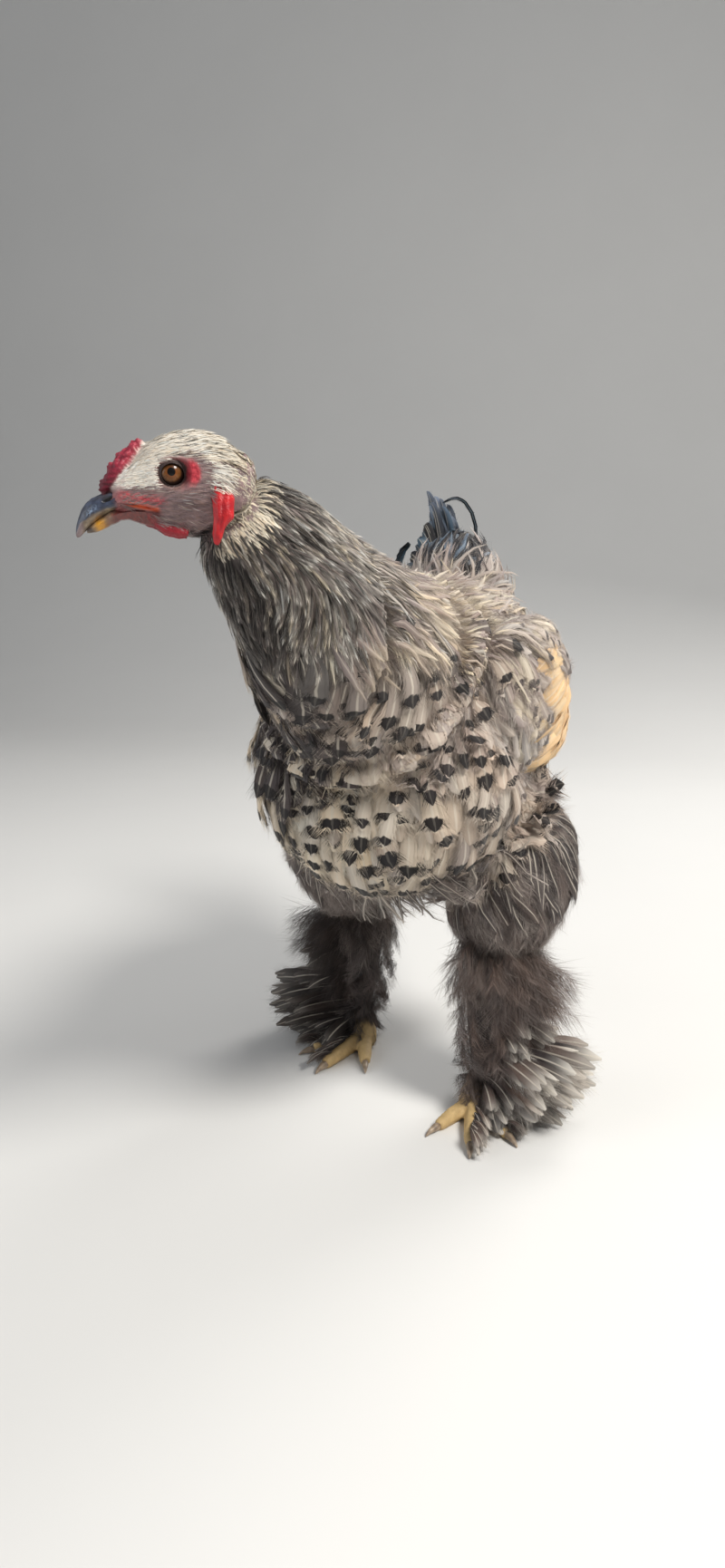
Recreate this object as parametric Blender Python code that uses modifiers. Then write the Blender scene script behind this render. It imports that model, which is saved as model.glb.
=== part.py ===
"""A young Brahma cockerel standing in mid-step, life size.

The bird faces -Y with its left side towards +X, and its neck reaches forward and turns the
head to the bird's own right.  Each solid holds the plumage as well as the flesh, out to the
feather tips.  Shapes are coarse cages smoothed by subdivision; where two pieces meet, the
later one is cut back by a copy of the earlier one that is larger all round by FIT_GAP.
"""

import math

import bmesh
import bpy
from mathutils import Matrix, Vector

# Driving dimensions, in metres.
FIT_GAP = 0.0004            # clear space between pieces that touch
BACK_HEIGHT = 0.408         # top of the back above the ground
BREAST_BOTTOM = 0.178       # lowest feathers of the breast
TRUNK_HALF_WIDTH = 0.104    # without the wings
HOCK_HEIGHT = 0.122
SHANK_BOTTOM = 0.014
EYE_RADIUS = 0.0068
EYE_SPREAD = 0.0090         # from the head's middle plane to the centre of each eyeball
HEAD_PLACE = Vector((-0.0274, -0.2957, 0.4452))     # midway between the eyes
HEAD_TURN = math.radians(-148.0)                    # the beak's bearing, from +X
LEFT_FOOT = Vector((0.061, -0.030, 0.0))            # the foot that is set forward
RIGHT_FOOT = Vector((-0.060, 0.046, 0.0))
LEFT, RIGHT = 1, -1

COLOURS = {
    "plumage": ((0.52, 0.47, 0.42), 0.8),
    "breast": ((0.66, 0.60, 0.50), 0.8),
    "fluff": ((0.24, 0.21, 0.20), 0.9),
    "wing_bay": ((0.72, 0.55, 0.32), 0.6),
    "tail": ((0.03, 0.05, 0.06), 0.4),
    "comb": ((0.60, 0.06, 0.07), 0.5),
    "beak": ((0.30, 0.29, 0.27), 0.35),
    "eye": ((0.45, 0.22, 0.04), 0.1),
    "toe": ((0.62, 0.42, 0.20), 0.6),
}


def clear_scene():
    for thing in list(bpy.data.objects):
        bpy.data.objects.remove(thing)


def new_collection(name):
    made = bpy.data.collections.new(name)
    bpy.context.scene.collection.children.link(made)
    return made


clear_scene()
BIRD = new_collection("chicken")
CUTTERS = new_collection("cutters")
ORIGIN = bpy.data.objects.new("bird_place", None)
BIRD.objects.link(ORIGIN)
HEAD = bpy.data.objects.new("head_place", None)
BIRD.objects.link(HEAD)
HEAD.parent = ORIGIN
HEAD.location = HEAD_PLACE
HEAD.rotation_euler = (0.0, 0.0, HEAD_TURN)


def finish(name):
    """The Principled material of one kind of surface, made once."""
    found = bpy.data.materials.get(name)
    if found:
        return found
    made = bpy.data.materials.new(name)
    made.use_nodes = True
    shader = made.node_tree.nodes["Principled BSDF"]
    colour, roughness = COLOURS[name]
    shader.inputs["Base Color"].default_value = (*colour, 1.0)
    shader.inputs["Roughness"].default_value = roughness
    shader.inputs["Metallic"].default_value = 0.0
    return made


def add_piece(name, build, material, parent=None, smooth=0):
    """Makes an object from a bmesh, with `smooth` levels of subdivision."""
    bmesh.ops.recalc_face_normals(build, faces=build.faces)
    mesh = bpy.data.meshes.new(name)
    build.to_mesh(mesh)
    build.free()
    mesh.materials.append(finish(material))
    mesh.shade_smooth()
    piece = bpy.data.objects.new(name, mesh)
    BIRD.objects.link(piece)
    piece.parent = parent or ORIGIN
    round_off(piece, smooth)
    return piece


def round_off(piece, levels):
    """Subdivides a cage, then settles how each of its faces is folded."""
    if levels:
        subdivision = piece.modifiers.new("smooth", "SUBSURF")
        subdivision.levels = levels
        subdivision.render_levels = levels
    piece.modifiers.new("facets", "TRIANGULATE")


def oval(centre, across, rise, sag=None, sides=8):
    """A ring of points round `centre`: `across` and `rise` are half axes, `sag` the one below.
    The ring is drawn out so that the subdivided surface passes through the half axes."""
    sag = rise if sag is None else sag
    swell = 3.0 / (2.0 + math.cos(2 * math.pi / sides))
    points = []
    for i in range(sides):
        turn = 2 * math.pi * i / sides
        height = math.sin(turn)
        upright = rise if height >= 0 else sag
        points.append(centre + (across * math.cos(turn) + upright * height) * swell)
    return points


def loft(name, rings, material, parent=None, smooth=0):
    """A closed skin over rings of equal count, capped at both ends."""
    build = bmesh.new()
    loops = [[build.verts.new(point) for point in ring] for ring in rings]
    for near, far in zip(loops, loops[1:]):
        for i, corner in enumerate(near):
            j = (i + 1) % len(near)
            build.faces.new((corner, near[j], far[j], far[i]))
    build.faces.new(loops[0])
    build.faces.new(loops[-1])
    return add_piece(name, build, material, parent, smooth)


def limb_rings(spine, upward, sides=8):
    """Rings along a spine of (point, half width, half depth), square to its direction."""
    rings = []
    for i, (point, width, depth) in enumerate(spine):
        before = spine[max(i - 1, 0)][0]
        after = spine[min(i + 1, len(spine) - 1)][0]
        along = (after - before).normalized()
        across = along.cross(upward).normalized()
        rise = across.cross(along).normalized()
        rings.append(oval(point, across * width, rise * depth, sides=sides))
    return rings


def along_y(stations, side=0.0, sides=8):
    """Upright rings at (y, x, z, half width, rise, sag) stations."""
    return [
        oval(
            Vector((x + side, y, z)),
            Vector((width, 0, 0)),
            Vector((0, 0, rise)),
            Vector((0, 0, sag)),
            sides,
        )
        for y, x, z, width, rise, sag in stations
    ]


def head_rings(stations, sides=8):
    """Upright rings at (forward, z, half width, rise, sag) stations in the head's own axes."""
    return [
        oval(
            Vector((forward, 0, z)),
            Vector((0, width, 0)),
            Vector((0, 0, rise)),
            Vector((0, 0, sag)),
            sides,
        )
        for forward, z, width, rise, sag in stations
    ]


grown_copies = {}


def grown(piece, gap=FIT_GAP):
    """A hidden cutter: the piece's uncut shape, larger all round by the gap."""
    if piece.name not in grown_copies:
        cutter = bpy.data.objects.new(piece.name + "_cutter", piece.data)
        CUTTERS.objects.link(cutter)
        cutter.parent = piece.parent
        round_off(cutter, sum(own.levels for own in piece.modifiers if own.type == "SUBSURF"))
        swell = cutter.modifiers.new("swell", "DISPLACE")
        swell.mid_level = 0.0
        swell.strength = gap
        cutter.hide_render = True
        cutter.display_type = "WIRE"
        grown_copies[piece.name] = cutter
    return grown_copies[piece.name]


def cut_back(piece, *others):
    """Cuts the piece back from its neighbours' shapes."""
    for other in others:
        cut = piece.modifiers.new("clear_" + other.name, "BOOLEAN")
        cut.operation = "DIFFERENCE"
        cut.object = grown(other)


def block_cutter(name, low, high):
    """A hidden box between two corners, which takes away what is inside it."""
    build = bmesh.new()
    bmesh.ops.create_cube(build, size=1.0)
    size = high - low
    middle = (high + low) / 2
    bmesh.ops.transform(
        build,
        matrix=Matrix.Translation(middle) @ Matrix.Diagonal((*size, 1.0)),
        verts=build.verts,
    )
    mesh = bpy.data.meshes.new(name)
    build.to_mesh(mesh)
    build.free()
    cutter = bpy.data.objects.new(name, mesh)
    CUTTERS.objects.link(cutter)
    cutter.parent = ORIGIN
    cutter.hide_render = True
    cutter.display_type = "WIRE"
    return cutter


def trim(piece, cutter):
    cut = piece.modifiers.new("trim_" + cutter.name, "BOOLEAN")
    cut.operation = "DIFFERENCE"
    cut.object = cutter


# ---------------------------------------------------------------- head


def make_head():
    skull = [
        (-0.041, -0.006, 0.0150, 0.0150, 0.0150),
        (-0.032, -0.004, 0.0195, 0.0225, 0.0235),
        (-0.018, -0.003, 0.0192, 0.0258, 0.0272),
        (-0.002, -0.003, 0.0168, 0.0254, 0.0262),
        (0.012, -0.004, 0.0136, 0.0212, 0.0215),
        (0.022, -0.009, 0.0102, 0.0150, 0.0155),
        (0.029, -0.013, 0.0066, 0.0078, 0.0082),
    ]
    return loft("head", head_rings(skull), "plumage", HEAD, 1)


def make_beak():
    upper = [
        (0.010, -0.0128, 0.0080, 0.0045, 0.0030),
        (0.023, -0.0138, 0.0080, 0.0074, 0.0040),
        (0.034, -0.0185, 0.0058, 0.0090, 0.0044),
        (0.040, -0.0230, 0.0036, 0.0078, 0.0040),
        (0.0435, -0.0275, 0.0018, 0.0050, 0.0028),
        (0.0447, -0.0305, 0.0007, 0.0015, 0.0010),
    ]
    lower = [
        (0.008, -0.0200, 0.0074, 0.0046, 0.0046),
        (0.018, -0.0208, 0.0066, 0.0046, 0.0046),
        (0.028, -0.0233, 0.0050, 0.0036, 0.0036),
        (0.036, -0.0266, 0.0030, 0.0024, 0.0022),
        (0.0400, -0.0285, 0.0012, 0.0008, 0.0009),
    ]
    top = loft("beak_upper", head_rings(upper, 6), "beak", HEAD, 1)
    bottom = loft("beak_lower", head_rings(lower, 6), "beak", HEAD)
    cut_back(bottom, top)
    return top, bottom


def make_comb():
    """A pea comb: three low ridges side by side, notched along their length."""
    foot = Vector((0.0330, 0.0, -0.0085))
    crest = Vector((0.0135, 0.0, 0.0160))
    stations = 9
    run = crest - foot
    along = run.normalized()
    outward = Vector((-along.z, 0.0, along.x)) * -1.0
    rings = []
    for i in range(stations):
        share = i / (stations - 1)
        fullness = math.sin(math.pi * (0.10 + 0.84 * share)) ** 0.7
        notch = 1.0 if i % 2 else 0.72
        width = (0.0072 - 0.0030 * share) * fullness
        middle = foot + run * share
        profile = (
            (-1.00, -0.60), (-1.00, 0.45), (-0.72, 0.75 * notch), (-0.42, 0.45),
            (0.00, 1.25 * notch), (0.42, 0.45), (0.72, 0.75 * notch), (1.00, 0.45),
            (1.00, -0.60), (0.00, -1.00),
        )
        height = 0.0046 * fullness
        rings.append(
            [
                middle + Vector((0, u * width, 0)) + outward * v * height
                for u, v in profile
            ]
        )
    return loft("comb", rings, "comb", HEAD)


def make_wattle(side):
    drop = [
        (Vector((0.0080, side * 0.0064, -0.0236)), 0.0012, 0.0012),
        (Vector((0.0030, side * 0.0082, -0.0252)), 0.0019, 0.0015),
        (Vector((-0.0025, side * 0.0090, -0.0264)), 0.0020, 0.0015),
        (Vector((-0.0070, side * 0.0090, -0.0272)), 0.0012, 0.0012),
    ]
    name = "wattle_left" if side == LEFT else "wattle_right"
    return loft(name, limb_rings(drop, Vector((0, 1, 0)), 6), "comb", HEAD)


def make_lobe(side):
    drop = [
        (Vector((-0.0222, side * 0.0165, -0.0070)), 0.0034, 0.0030),
        (Vector((-0.0234, side * 0.0196, -0.0125)), 0.0043, 0.0030),
        (Vector((-0.0232, side * 0.0206, -0.0195)), 0.0040, 0.0028),
        (Vector((-0.0218, side * 0.0204, -0.0250)), 0.0028, 0.0024),
        (Vector((-0.0212, side * 0.0198, -0.0290)), 0.0025, 0.0022),
        (Vector((-0.0204, side * 0.0190, -0.0325)), 0.0012, 0.0012),
    ]
    name = "earlobe_left" if side == LEFT else "earlobe_right"
    return loft(name, limb_rings(drop, Vector((0, 1, 0)), 6), "comb", HEAD)


def make_eye(side):
    build = bmesh.new()
    bmesh.ops.create_uvsphere(build, u_segments=12, v_segments=8, radius=EYE_RADIUS)
    bmesh.ops.translate(build, verts=build.verts, vec=(0, side * EYE_SPREAD, 0))
    name = "eye_left" if side == LEFT else "eye_right"
    return add_piece(name, build, "eye", HEAD)


# ---------------------------------------------------------------- neck and trunk


def make_neck():
    """The neck with its hackle, in two lengths."""
    spine = [
        (Vector((0.000, -0.040, 0.326)), 0.064, 0.068),
        (Vector((0.000, -0.092, 0.335)), 0.071, 0.077),
        (Vector((0.001, -0.146, 0.352)), 0.058, 0.067),
        (Vector((0.002, -0.204, 0.380)), 0.045, 0.052),
        (Vector((-0.001, -0.258, 0.416)), 0.0325, 0.0385),
        (Vector((-0.010, -0.290, 0.440)), 0.0200, 0.0250),
    ]
    rings = limb_rings(spine, Vector((0, 0, 1)))
    lower = loft("neck_lower", rings, "plumage", None, 1)
    upper = loft("neck_upper", rings, "plumage", None, 1)
    parting = -0.190
    reach = 0.5
    half = FIT_GAP / 2
    front = block_cutter(
        "front_half", Vector((-reach, -reach, -reach)), Vector((reach, parting + half, reach))
    )
    rear = block_cutter(
        "rear_half", Vector((-reach, parting - half, -reach)), Vector((reach, reach, reach))
    )
    trim(lower, front)
    trim(upper, rear)
    return lower, upper


def make_trunk():
    middle = (BACK_HEIGHT + BREAST_BOTTOM) / 2
    half = (BACK_HEIGHT - BREAST_BOTTOM) / 2
    wide = TRUNK_HALF_WIDTH
    stations = [
        (-0.146, 0, middle - 0.026, wide * 0.34, half * 0.32, half * 0.30),
        (-0.130, 0, middle - 0.024, wide * 0.70, half * 0.64, half * 0.62),
        (-0.088, 0, middle - 0.010, wide * 0.96, half * 0.92, half * 0.88),
        (-0.022, 0, middle, wide * 1.00, half * 1.00, half * 1.00),
        (0.060, 0, middle + 0.002, wide * 0.97, half * 0.96, half * 1.10),
        (0.140, 0, middle + 0.022, wide * 0.72, half * 0.70, half * 0.88),
        (0.190, 0, middle + 0.044, wide * 0.26, half * 0.26, half * 0.34),
    ]
    return loft("trunk", along_y(stations), "breast", None, 1)


def make_wing(side):
    stations = [
        (-0.094, side * 0.072, 0.326, 0.014, 0.030, 0.030),
        (-0.052, side * 0.082, 0.318, 0.027, 0.058, 0.057),
        (0.016, side * 0.085, 0.314, 0.030, 0.063, 0.060),
        (0.086, side * 0.075, 0.318, 0.025, 0.050, 0.042),
        (0.132, side * 0.060, 0.322, 0.015, 0.030, 0.024),
    ]
    name = "wing_left" if side == LEFT else "wing_right"
    return loft(name, along_y(stations, sides=6), "plumage", None, 1)


def make_flight(side):
    """The folded secondaries and primaries, which show below and behind the coverts."""
    stations = [
        (-0.006, side * 0.096, 0.290, 0.010, 0.030, 0.030),
        (0.056, side * 0.099, 0.297, 0.014, 0.039, 0.036),
        (0.140, side * 0.074, 0.316, 0.012, 0.027, 0.020),
        (0.194, side * 0.042, 0.330, 0.005, 0.009, 0.007),
    ]
    name = "flight_left" if side == LEFT else "flight_right"
    return loft(name, along_y(stations, sides=6), "wing_bay", None, 1)


# ---------------------------------------------------------------- tail


def make_cushion():
    """The rump's cushion of soft feathers, out of which the tail rises."""
    mound = [
        (Vector((-0.004, 0.112, 0.352)), 0.050, 0.040),
        (Vector((-0.014, 0.150, 0.384)), 0.052, 0.038),
        (Vector((-0.030, 0.178, 0.414)), 0.043, 0.028),
        (Vector((-0.040, 0.196, 0.440)), 0.025, 0.014),
    ]
    return loft("tail_cushion", limb_rings(mound, Vector((0, -1, 0)), 6), "tail", None, 1)


def make_tail_side(side):
    """One half of the main tail, a leaning fan of stiff feathers."""
    if side == LEFT:
        fan = [
            (Vector((-0.001, 0.150, 0.356)), 0.014, 0.020),
            (Vector((-0.012, 0.186, 0.390)), 0.021, 0.028),
            (Vector((-0.023, 0.206, 0.420)), 0.018, 0.024),
            (Vector((-0.034, 0.216, 0.447)), 0.010, 0.013),
        ]
    else:
        fan = [
            (Vector((-0.023, 0.150, 0.356)), 0.014, 0.020),
            (Vector((-0.053, 0.188, 0.398)), 0.021, 0.030),
            (Vector((-0.062, 0.210, 0.438)), 0.020, 0.026),
            (Vector((-0.044, 0.226, 0.478)), 0.010, 0.011),
        ]
    name = "tail_left" if side == LEFT else "tail_right"
    return loft(name, limb_rings(fan, Vector((0, -1, 0)), 6), "tail", None, 1)


SICKLES = (
    # name, centre, half breadth, half height, first and last angle, half width, way back over its length
    ("sickle_high", (-0.037, 0.222, 0.444), 0.0216, 0.036, 142, -28, 0.0026, 0.008),
    ("sickle_left", (-0.025, 0.208, 0.388), 0.028, 0.040, 88, -12, 0.0050, 0.030),
    ("sickle_right", (-0.066, 0.196, 0.404), 0.0200, 0.036, 100, 168, 0.0050, 0.004),
)


def make_sickle(name, centre, breadth, height, first, last, width, back):
    """A narrow tail feather bent round an arc, which thins towards its tip."""
    steps = 9
    thickness = 0.0011
    rings = []
    for i in range(steps):
        share = i / (steps - 1)
        angle = math.radians(first + (last - first) * share)
        middle = Vector(centre) + Vector((breadth * math.cos(angle), back * share, height * math.sin(angle)))
        outward = Vector((math.cos(angle) / breadth, 0, math.sin(angle) / height)).normalized()
        spread = width * (1.0 - 0.45 * share)
        rings.append(oval(middle, outward * thickness, Vector((0, spread, 0)), sides=6))
    return loft(name, rings, "tail")


# ---------------------------------------------------------------- legs


def make_thigh(side, foot):
    spine = [
        (Vector((side * 0.056, 0.034, 0.262)), 0.046, 0.044),
        (Vector((side * 0.072, 0.030, 0.224)), 0.058, 0.062),
        (Vector((side * 0.077, foot.y * 0.45 + 0.022, 0.190)), 0.055, 0.060),
        (Vector((side * 0.073, foot.y * 0.75 + 0.016, 0.154)), 0.046, 0.048),
        (Vector((side * 0.066, foot.y + 0.014, HOCK_HEIGHT - 0.004)), 0.034, 0.034),
    ]
    name = "thigh_left" if side == LEFT else "thigh_right"
    return loft(name, limb_rings(spine, Vector((0, 1, 0)), 6), "fluff", None, 1)


def make_shank(side, foot):
    """The shank with the feathers that clothe it, fuller on its outer side."""
    top = foot + Vector((0, 0.014, HOCK_HEIGHT + 0.008))
    bottom = foot + Vector((0, 0, SHANK_BOTTOM))
    spine = []
    for share, half, out in ((0, 0.032, 0.002), (0.35, 0.031, 0.004), (0.75, 0.027, 0.004),
                             (1, 0.015, 0.002)):
        point = top.lerp(bottom, share) + Vector((side * out, 0.002, 0))
        spine.append((point, half, half * 0.88))
    name = "shank_left" if side == LEFT else "shank_right"
    return loft(name, limb_rings(spine, Vector((0, 1, 0)), 6), "fluff", None, 1)


TOES = (
    # bearing from straight ahead towards the outside, length, root radius
    ("inner", -0.50, 0.047, 0.0058),
    ("middle", 0.10, 0.061, 0.0064),
    ("outer", 0.66, 0.050, 0.0058),
    ("hind", 2.80, 0.028, 0.0050),
)


def toe_direction(side, bearing, facing):
    turn = facing + side * bearing
    return Vector((math.sin(turn), -math.cos(turn), 0.0))


def make_foot(side, foot, facing):
    """Four toes joined under the shank, trimmed to a flat sole."""
    name = "foot_left" if side == LEFT else "foot_right"
    sole = block_cutter(name + "_sole", Vector((-0.5, -0.5, -0.1)), Vector((0.5, 0.5, 0.0)))
    pad = [
        (foot + Vector((0, 0.004, 0.022)), 0.0060, 0.0070),
        (foot + Vector((0, 0.000, 0.014)), 0.0100, 0.0100),
        (foot + Vector((0, -0.004, 0.005)), 0.0110, 0.0110),
        (foot + Vector((0, -0.005, -0.002)), 0.0080, 0.0080),
    ]
    body = loft(name, limb_rings(pad, Vector((0, 1, 0)), 6), "toe")
    toes = []
    claws = []
    for label, bearing, length, radius in TOES:
        way = toe_direction(side, bearing, facing)
        spine = []
        for share, size, lift in ((0.0, 0.9, 1.15), (0.30, 1.0, 0.95), (0.62, 0.92, 0.85),
                                  (0.90, 0.74, 0.62), (1.0, 0.45, 0.50)):
            point = foot + way * length * share + Vector((0, 0, radius * lift))
            spine.append((point, radius * size, radius * size))
        toe = loft(name + "_" + label, limb_rings(spine, Vector((0, 0, 1)), 6), "toe")
        toe.hide_render = True
        toe.display_type = "WIRE"
        join = body.modifiers.new("join_" + label, "BOOLEAN")
        join.operation = "UNION"
        join.object = toe
        toes.append(toe)
        claws.append(make_claw(side, label, foot + way * length, way, radius))
    trim(body, sole)
    for claw in claws:
        trim(claw, sole)
        cut_back(body, claw)
    return body, toes, claws


def make_claw(side, label, root, way, radius):
    name = ("claw_left_" if side == LEFT else "claw_right_") + label
    spine = []
    for share, size, height in ((-0.20, 0.42, 0.57), (0.10, 0.44, 0.62), (0.60, 0.28, 0.50),
                                (1.0, 0.09, 0.16)):
        point = root + way * 0.0120 * share + Vector((0, 0, radius * height))
        spine.append((point, radius * size, radius * size))
    return loft(name, limb_rings(spine, Vector((0, 0, 1)), 6), "beak")


BOOTS = (
    # height of the root on the shank, then the tip from the foot, half spread, half thickness
    ("upper", 0.094, (0.066, 0.012, 0.090), 0.022, 0.020),
    ("middle", 0.060, (0.070, 0.014, 0.058), 0.024, 0.019),
    ("lower", 0.028, (0.080, 0.020, 0.030), 0.030, 0.016),
    ("toe", 0.012, (0.060, -0.028, 0.014), 0.020, 0.008),
)


def make_boot(side, foot, label, root_height, tip, spread, thick):
    """A spray of stiff feathers that sweeps outwards from the shank or the outer toe."""
    root = foot + Vector((side * 0.008, 0.0, root_height))
    end = foot + Vector((side * tip[0], tip[1], tip[2]))
    spine = []
    for share, fan, depth in ((0.0, 0.60, 0.80), (0.40, 0.95, 1.00), (0.80, 0.90, 0.80),
                              (1.0, 0.55, 0.30)):
        arch = Vector((0, 0, 0.005 * math.sin(math.pi * share)))
        spine.append((root.lerp(end, share) + arch, spread * fan, thick * depth))
    name = ("boot_left_" if side == LEFT else "boot_right_") + label
    return loft(name, limb_rings(spine, Vector((0, 0, 1)), 6), "fluff")


# ---------------------------------------------------------------- the whole bird


def recentre():
    """Puts the middle of the bird's outline over the origin and its soles on the ground."""
    bpy.context.view_layer.update()
    graph = bpy.context.evaluated_depsgraph_get()
    low = Vector((1e9, 1e9, 1e9))
    high = -low
    for piece in BIRD.objects:
        if piece.type != "MESH" or piece.hide_render:
            continue
        shown = piece.evaluated_get(graph)
        mesh = shown.to_mesh()
        for vertex in mesh.vertices:
            point = shown.matrix_world @ vertex.co
            low = Vector(map(min, low, point))
            high = Vector(map(max, high, point))
        shown.to_mesh_clear()
    middle = (low + high) / 2
    ORIGIN.location = (-middle.x, -middle.y, -low.z)


def main():
    eyes = [make_eye(side) for side in (LEFT, RIGHT)]
    upper_beak, lower_beak = make_beak()
    comb = make_comb()
    lobes = [make_lobe(side) for side in (LEFT, RIGHT)]
    wattles = [make_wattle(side) for side in (LEFT, RIGHT)]
    head = make_head()
    cut_back(comb, upper_beak)
    for wattle in wattles:
        cut_back(wattle, lower_beak)
    cut_back(head, *eyes, upper_beak, lower_beak, comb, *lobes, *wattles)
    neck_lower, neck_upper = make_neck()
    cut_back(neck_upper, head, *lobes, *wattles)
    trunk = make_trunk()
    cushion = make_cushion()
    tail_halves = [make_tail_side(side) for side in (LEFT, RIGHT)]
    for half in tail_halves:
        cut_back(half, cushion, trunk)
    cut_back(tail_halves[1], tail_halves[0])
    for sickle_plan in SICKLES:
        sickle = make_sickle(*sickle_plan)
        cut_back(sickle, cushion, *tail_halves)
    neck = grown(neck_lower)
    for side, foot, facing in ((LEFT, LEFT_FOOT, 0.10), (RIGHT, RIGHT_FOOT, -0.12)):
        wing = make_wing(side)
        flight = make_flight(side)
        thigh = make_thigh(side, foot)
        shank = make_shank(side, foot)
        body, toes, claws = make_foot(side, foot, facing)
        trim(wing, neck)
        cut_back(flight, wing)
        cut_back(thigh, wing, flight)
        cut_back(shank, thigh)
        cut_back(body, shank)
        cut_back(trunk, wing, flight, thigh)
        below = None
        for label, height, tip, spread, thick in reversed(BOOTS):
            boot = make_boot(side, foot, label, height, tip, spread, thick)
            cut_back(boot, shank, thigh)
            if label in ("toe", "lower"):
                cut_back(boot, body, *toes, *claws)
            if below:
                cut_back(boot, below)
            below = boot
        cut_back(cushion, flight)
    trim(trunk, neck)
    cut_back(trunk, cushion)
    recentre()


main()
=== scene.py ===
import math
from contextlib import contextmanager
from functools import partial
from itertools import product

import bpy
import numpy as np
from mathutils import Matrix, Vector, noise
from mathutils.bvhtree import BVHTree


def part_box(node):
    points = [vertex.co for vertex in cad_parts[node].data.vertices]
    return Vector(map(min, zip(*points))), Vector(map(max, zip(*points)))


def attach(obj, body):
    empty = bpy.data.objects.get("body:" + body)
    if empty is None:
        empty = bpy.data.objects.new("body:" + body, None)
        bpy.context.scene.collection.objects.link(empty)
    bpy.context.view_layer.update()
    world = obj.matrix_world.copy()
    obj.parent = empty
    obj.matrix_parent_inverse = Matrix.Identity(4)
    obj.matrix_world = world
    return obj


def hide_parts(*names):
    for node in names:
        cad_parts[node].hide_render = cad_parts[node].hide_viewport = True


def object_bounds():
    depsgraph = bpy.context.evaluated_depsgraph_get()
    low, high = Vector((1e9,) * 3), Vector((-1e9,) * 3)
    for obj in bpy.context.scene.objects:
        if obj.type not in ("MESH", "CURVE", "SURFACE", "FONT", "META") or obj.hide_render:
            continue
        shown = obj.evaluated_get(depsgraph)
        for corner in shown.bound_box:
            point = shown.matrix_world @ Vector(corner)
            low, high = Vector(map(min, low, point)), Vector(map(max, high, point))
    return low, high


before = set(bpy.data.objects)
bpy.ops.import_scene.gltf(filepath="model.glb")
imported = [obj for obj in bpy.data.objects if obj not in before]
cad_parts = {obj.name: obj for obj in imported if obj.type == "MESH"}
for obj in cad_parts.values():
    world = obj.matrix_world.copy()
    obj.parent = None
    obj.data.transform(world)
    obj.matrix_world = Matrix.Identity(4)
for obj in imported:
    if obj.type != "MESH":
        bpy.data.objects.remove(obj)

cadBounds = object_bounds()
scene = bpy.context.scene
chance = np.random.default_rng(7)


# small helpers

def ink(red, green, blue):
    # a colour as it looks on a screen, 0 to 255, turned into the shader's linear light
    share = np.array([red, green, blue], float) / 255
    return np.where(share <= 0.04045, share / 12.92, ((share + 0.055) / 1.055) ** 2.4)


def ease(low, high, value):
    share = np.clip((value - low) / (high - low), 0, 1)
    return share * share * (3 - 2 * share)


def bell(value, middle, spread):
    return np.exp(-((value - middle) / spread) ** 2)


def unit(vectors):
    return vectors / np.maximum(np.linalg.norm(vectors, axis=-1, keepdims=True), 1e-12)


def blend(first, second, share):
    share = np.asarray(share)[..., None]
    return np.asarray(first) * (1 - share) + np.asarray(second) * share


def drift(points, scale, seed=0.0):
    # slow noise, about -1 to 1, one value for each point
    return np.array([noise.noise(Vector(p) * scale + Vector((seed, -seed, seed))) for p in points])


def deselect():
    if bpy.context.mode != "OBJECT":
        bpy.ops.object.mode_set(mode="OBJECT")
    bpy.ops.object.select_all(action="DESELECT")


def choose(piece):
    deselect()
    piece.select_set(True)
    bpy.context.view_layer.objects.active = piece


@contextmanager
def editing(piece, action=None):
    # mesh tools inside this work on the piece, with all of it selected, or none
    choose(piece)
    bpy.ops.object.mode_set(mode="EDIT")
    if action:
        bpy.ops.mesh.select_all(action=action)
    yield
    bpy.ops.object.mode_set(mode="OBJECT")


def shadeSmooth(piece):
    choose(piece)
    bpy.ops.object.shade_smooth()


def applyAll(piece):
    choose(piece)
    for modifier in list(piece.modifiers):
        bpy.ops.object.modifier_apply(modifier=modifier.name)


def readRows(group, title, width, kind=np.float32):
    values = np.empty(len(group) * width, kind)
    group.foreach_get(title, values)
    return values.reshape(-1, width)


def pointsOf(piece):
    return readRows(piece.data.vertices, "co", 3).astype(float)


def normalsOf(piece):
    return readRows(piece.data.vertices, "normal", 3).astype(float)


def movePoints(piece, points):
    piece.data.vertices.foreach_set("co", np.asarray(points, np.float32).ravel())
    piece.data.update()


def paintPoints(piece, name, colours, alpha=1.0):
    layer = piece.data.color_attributes.get(name)
    if layer is None:
        layer = piece.data.color_attributes.new(name, "FLOAT_COLOR", "POINT")
    rgba = np.ones((len(piece.data.vertices), 4), np.float32)
    rgba[:, :3] = colours
    rgba[:, 3] = alpha
    layer.data.foreach_set("color", rgba.ravel())


# where the bird's parts are, from the solids

def middleOf(node):
    low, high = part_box(node)
    return (low + high) / 2


eyeMiddle = {"left": middleOf("eye_left"), "right": middleOf("eye_right")}
eyeRadius = (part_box("eye_left")[1].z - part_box("eye_left")[0].z) / 2
headPlace = (eyeMiddle["left"] + eyeMiddle["right"]) / 2
headLeft = (eyeMiddle["left"] - eyeMiddle["right"]).normalized()
headFront = headLeft.cross(Vector((0, 0, 1)))
eyeSpread = (eyeMiddle["left"] - eyeMiddle["right"]).length / 2
headTurn = Matrix((headFront, headLeft, Vector((0, 0, 1)))).transposed()
headAxes = np.array(headTurn)
headSpot = np.array(headPlace)
headFromBird = (-0.0274, -0.2957, 0.4452)   # the middle between the eyes, from the ground under the trunk
birdPlace = np.array(headPlace) - np.array(headFromBird)


def toHead(points):
    # millimetres forward, left and up from the middle between the eyes
    return (np.asarray(points) - headSpot) @ headAxes * 1000


def fromHead(points):
    return np.asarray(points) / 1000 @ headAxes.T + headSpot


def toBird(points):
    return np.asarray(points) - birdPlace


# the solids as one outline that every feather can be measured against

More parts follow.
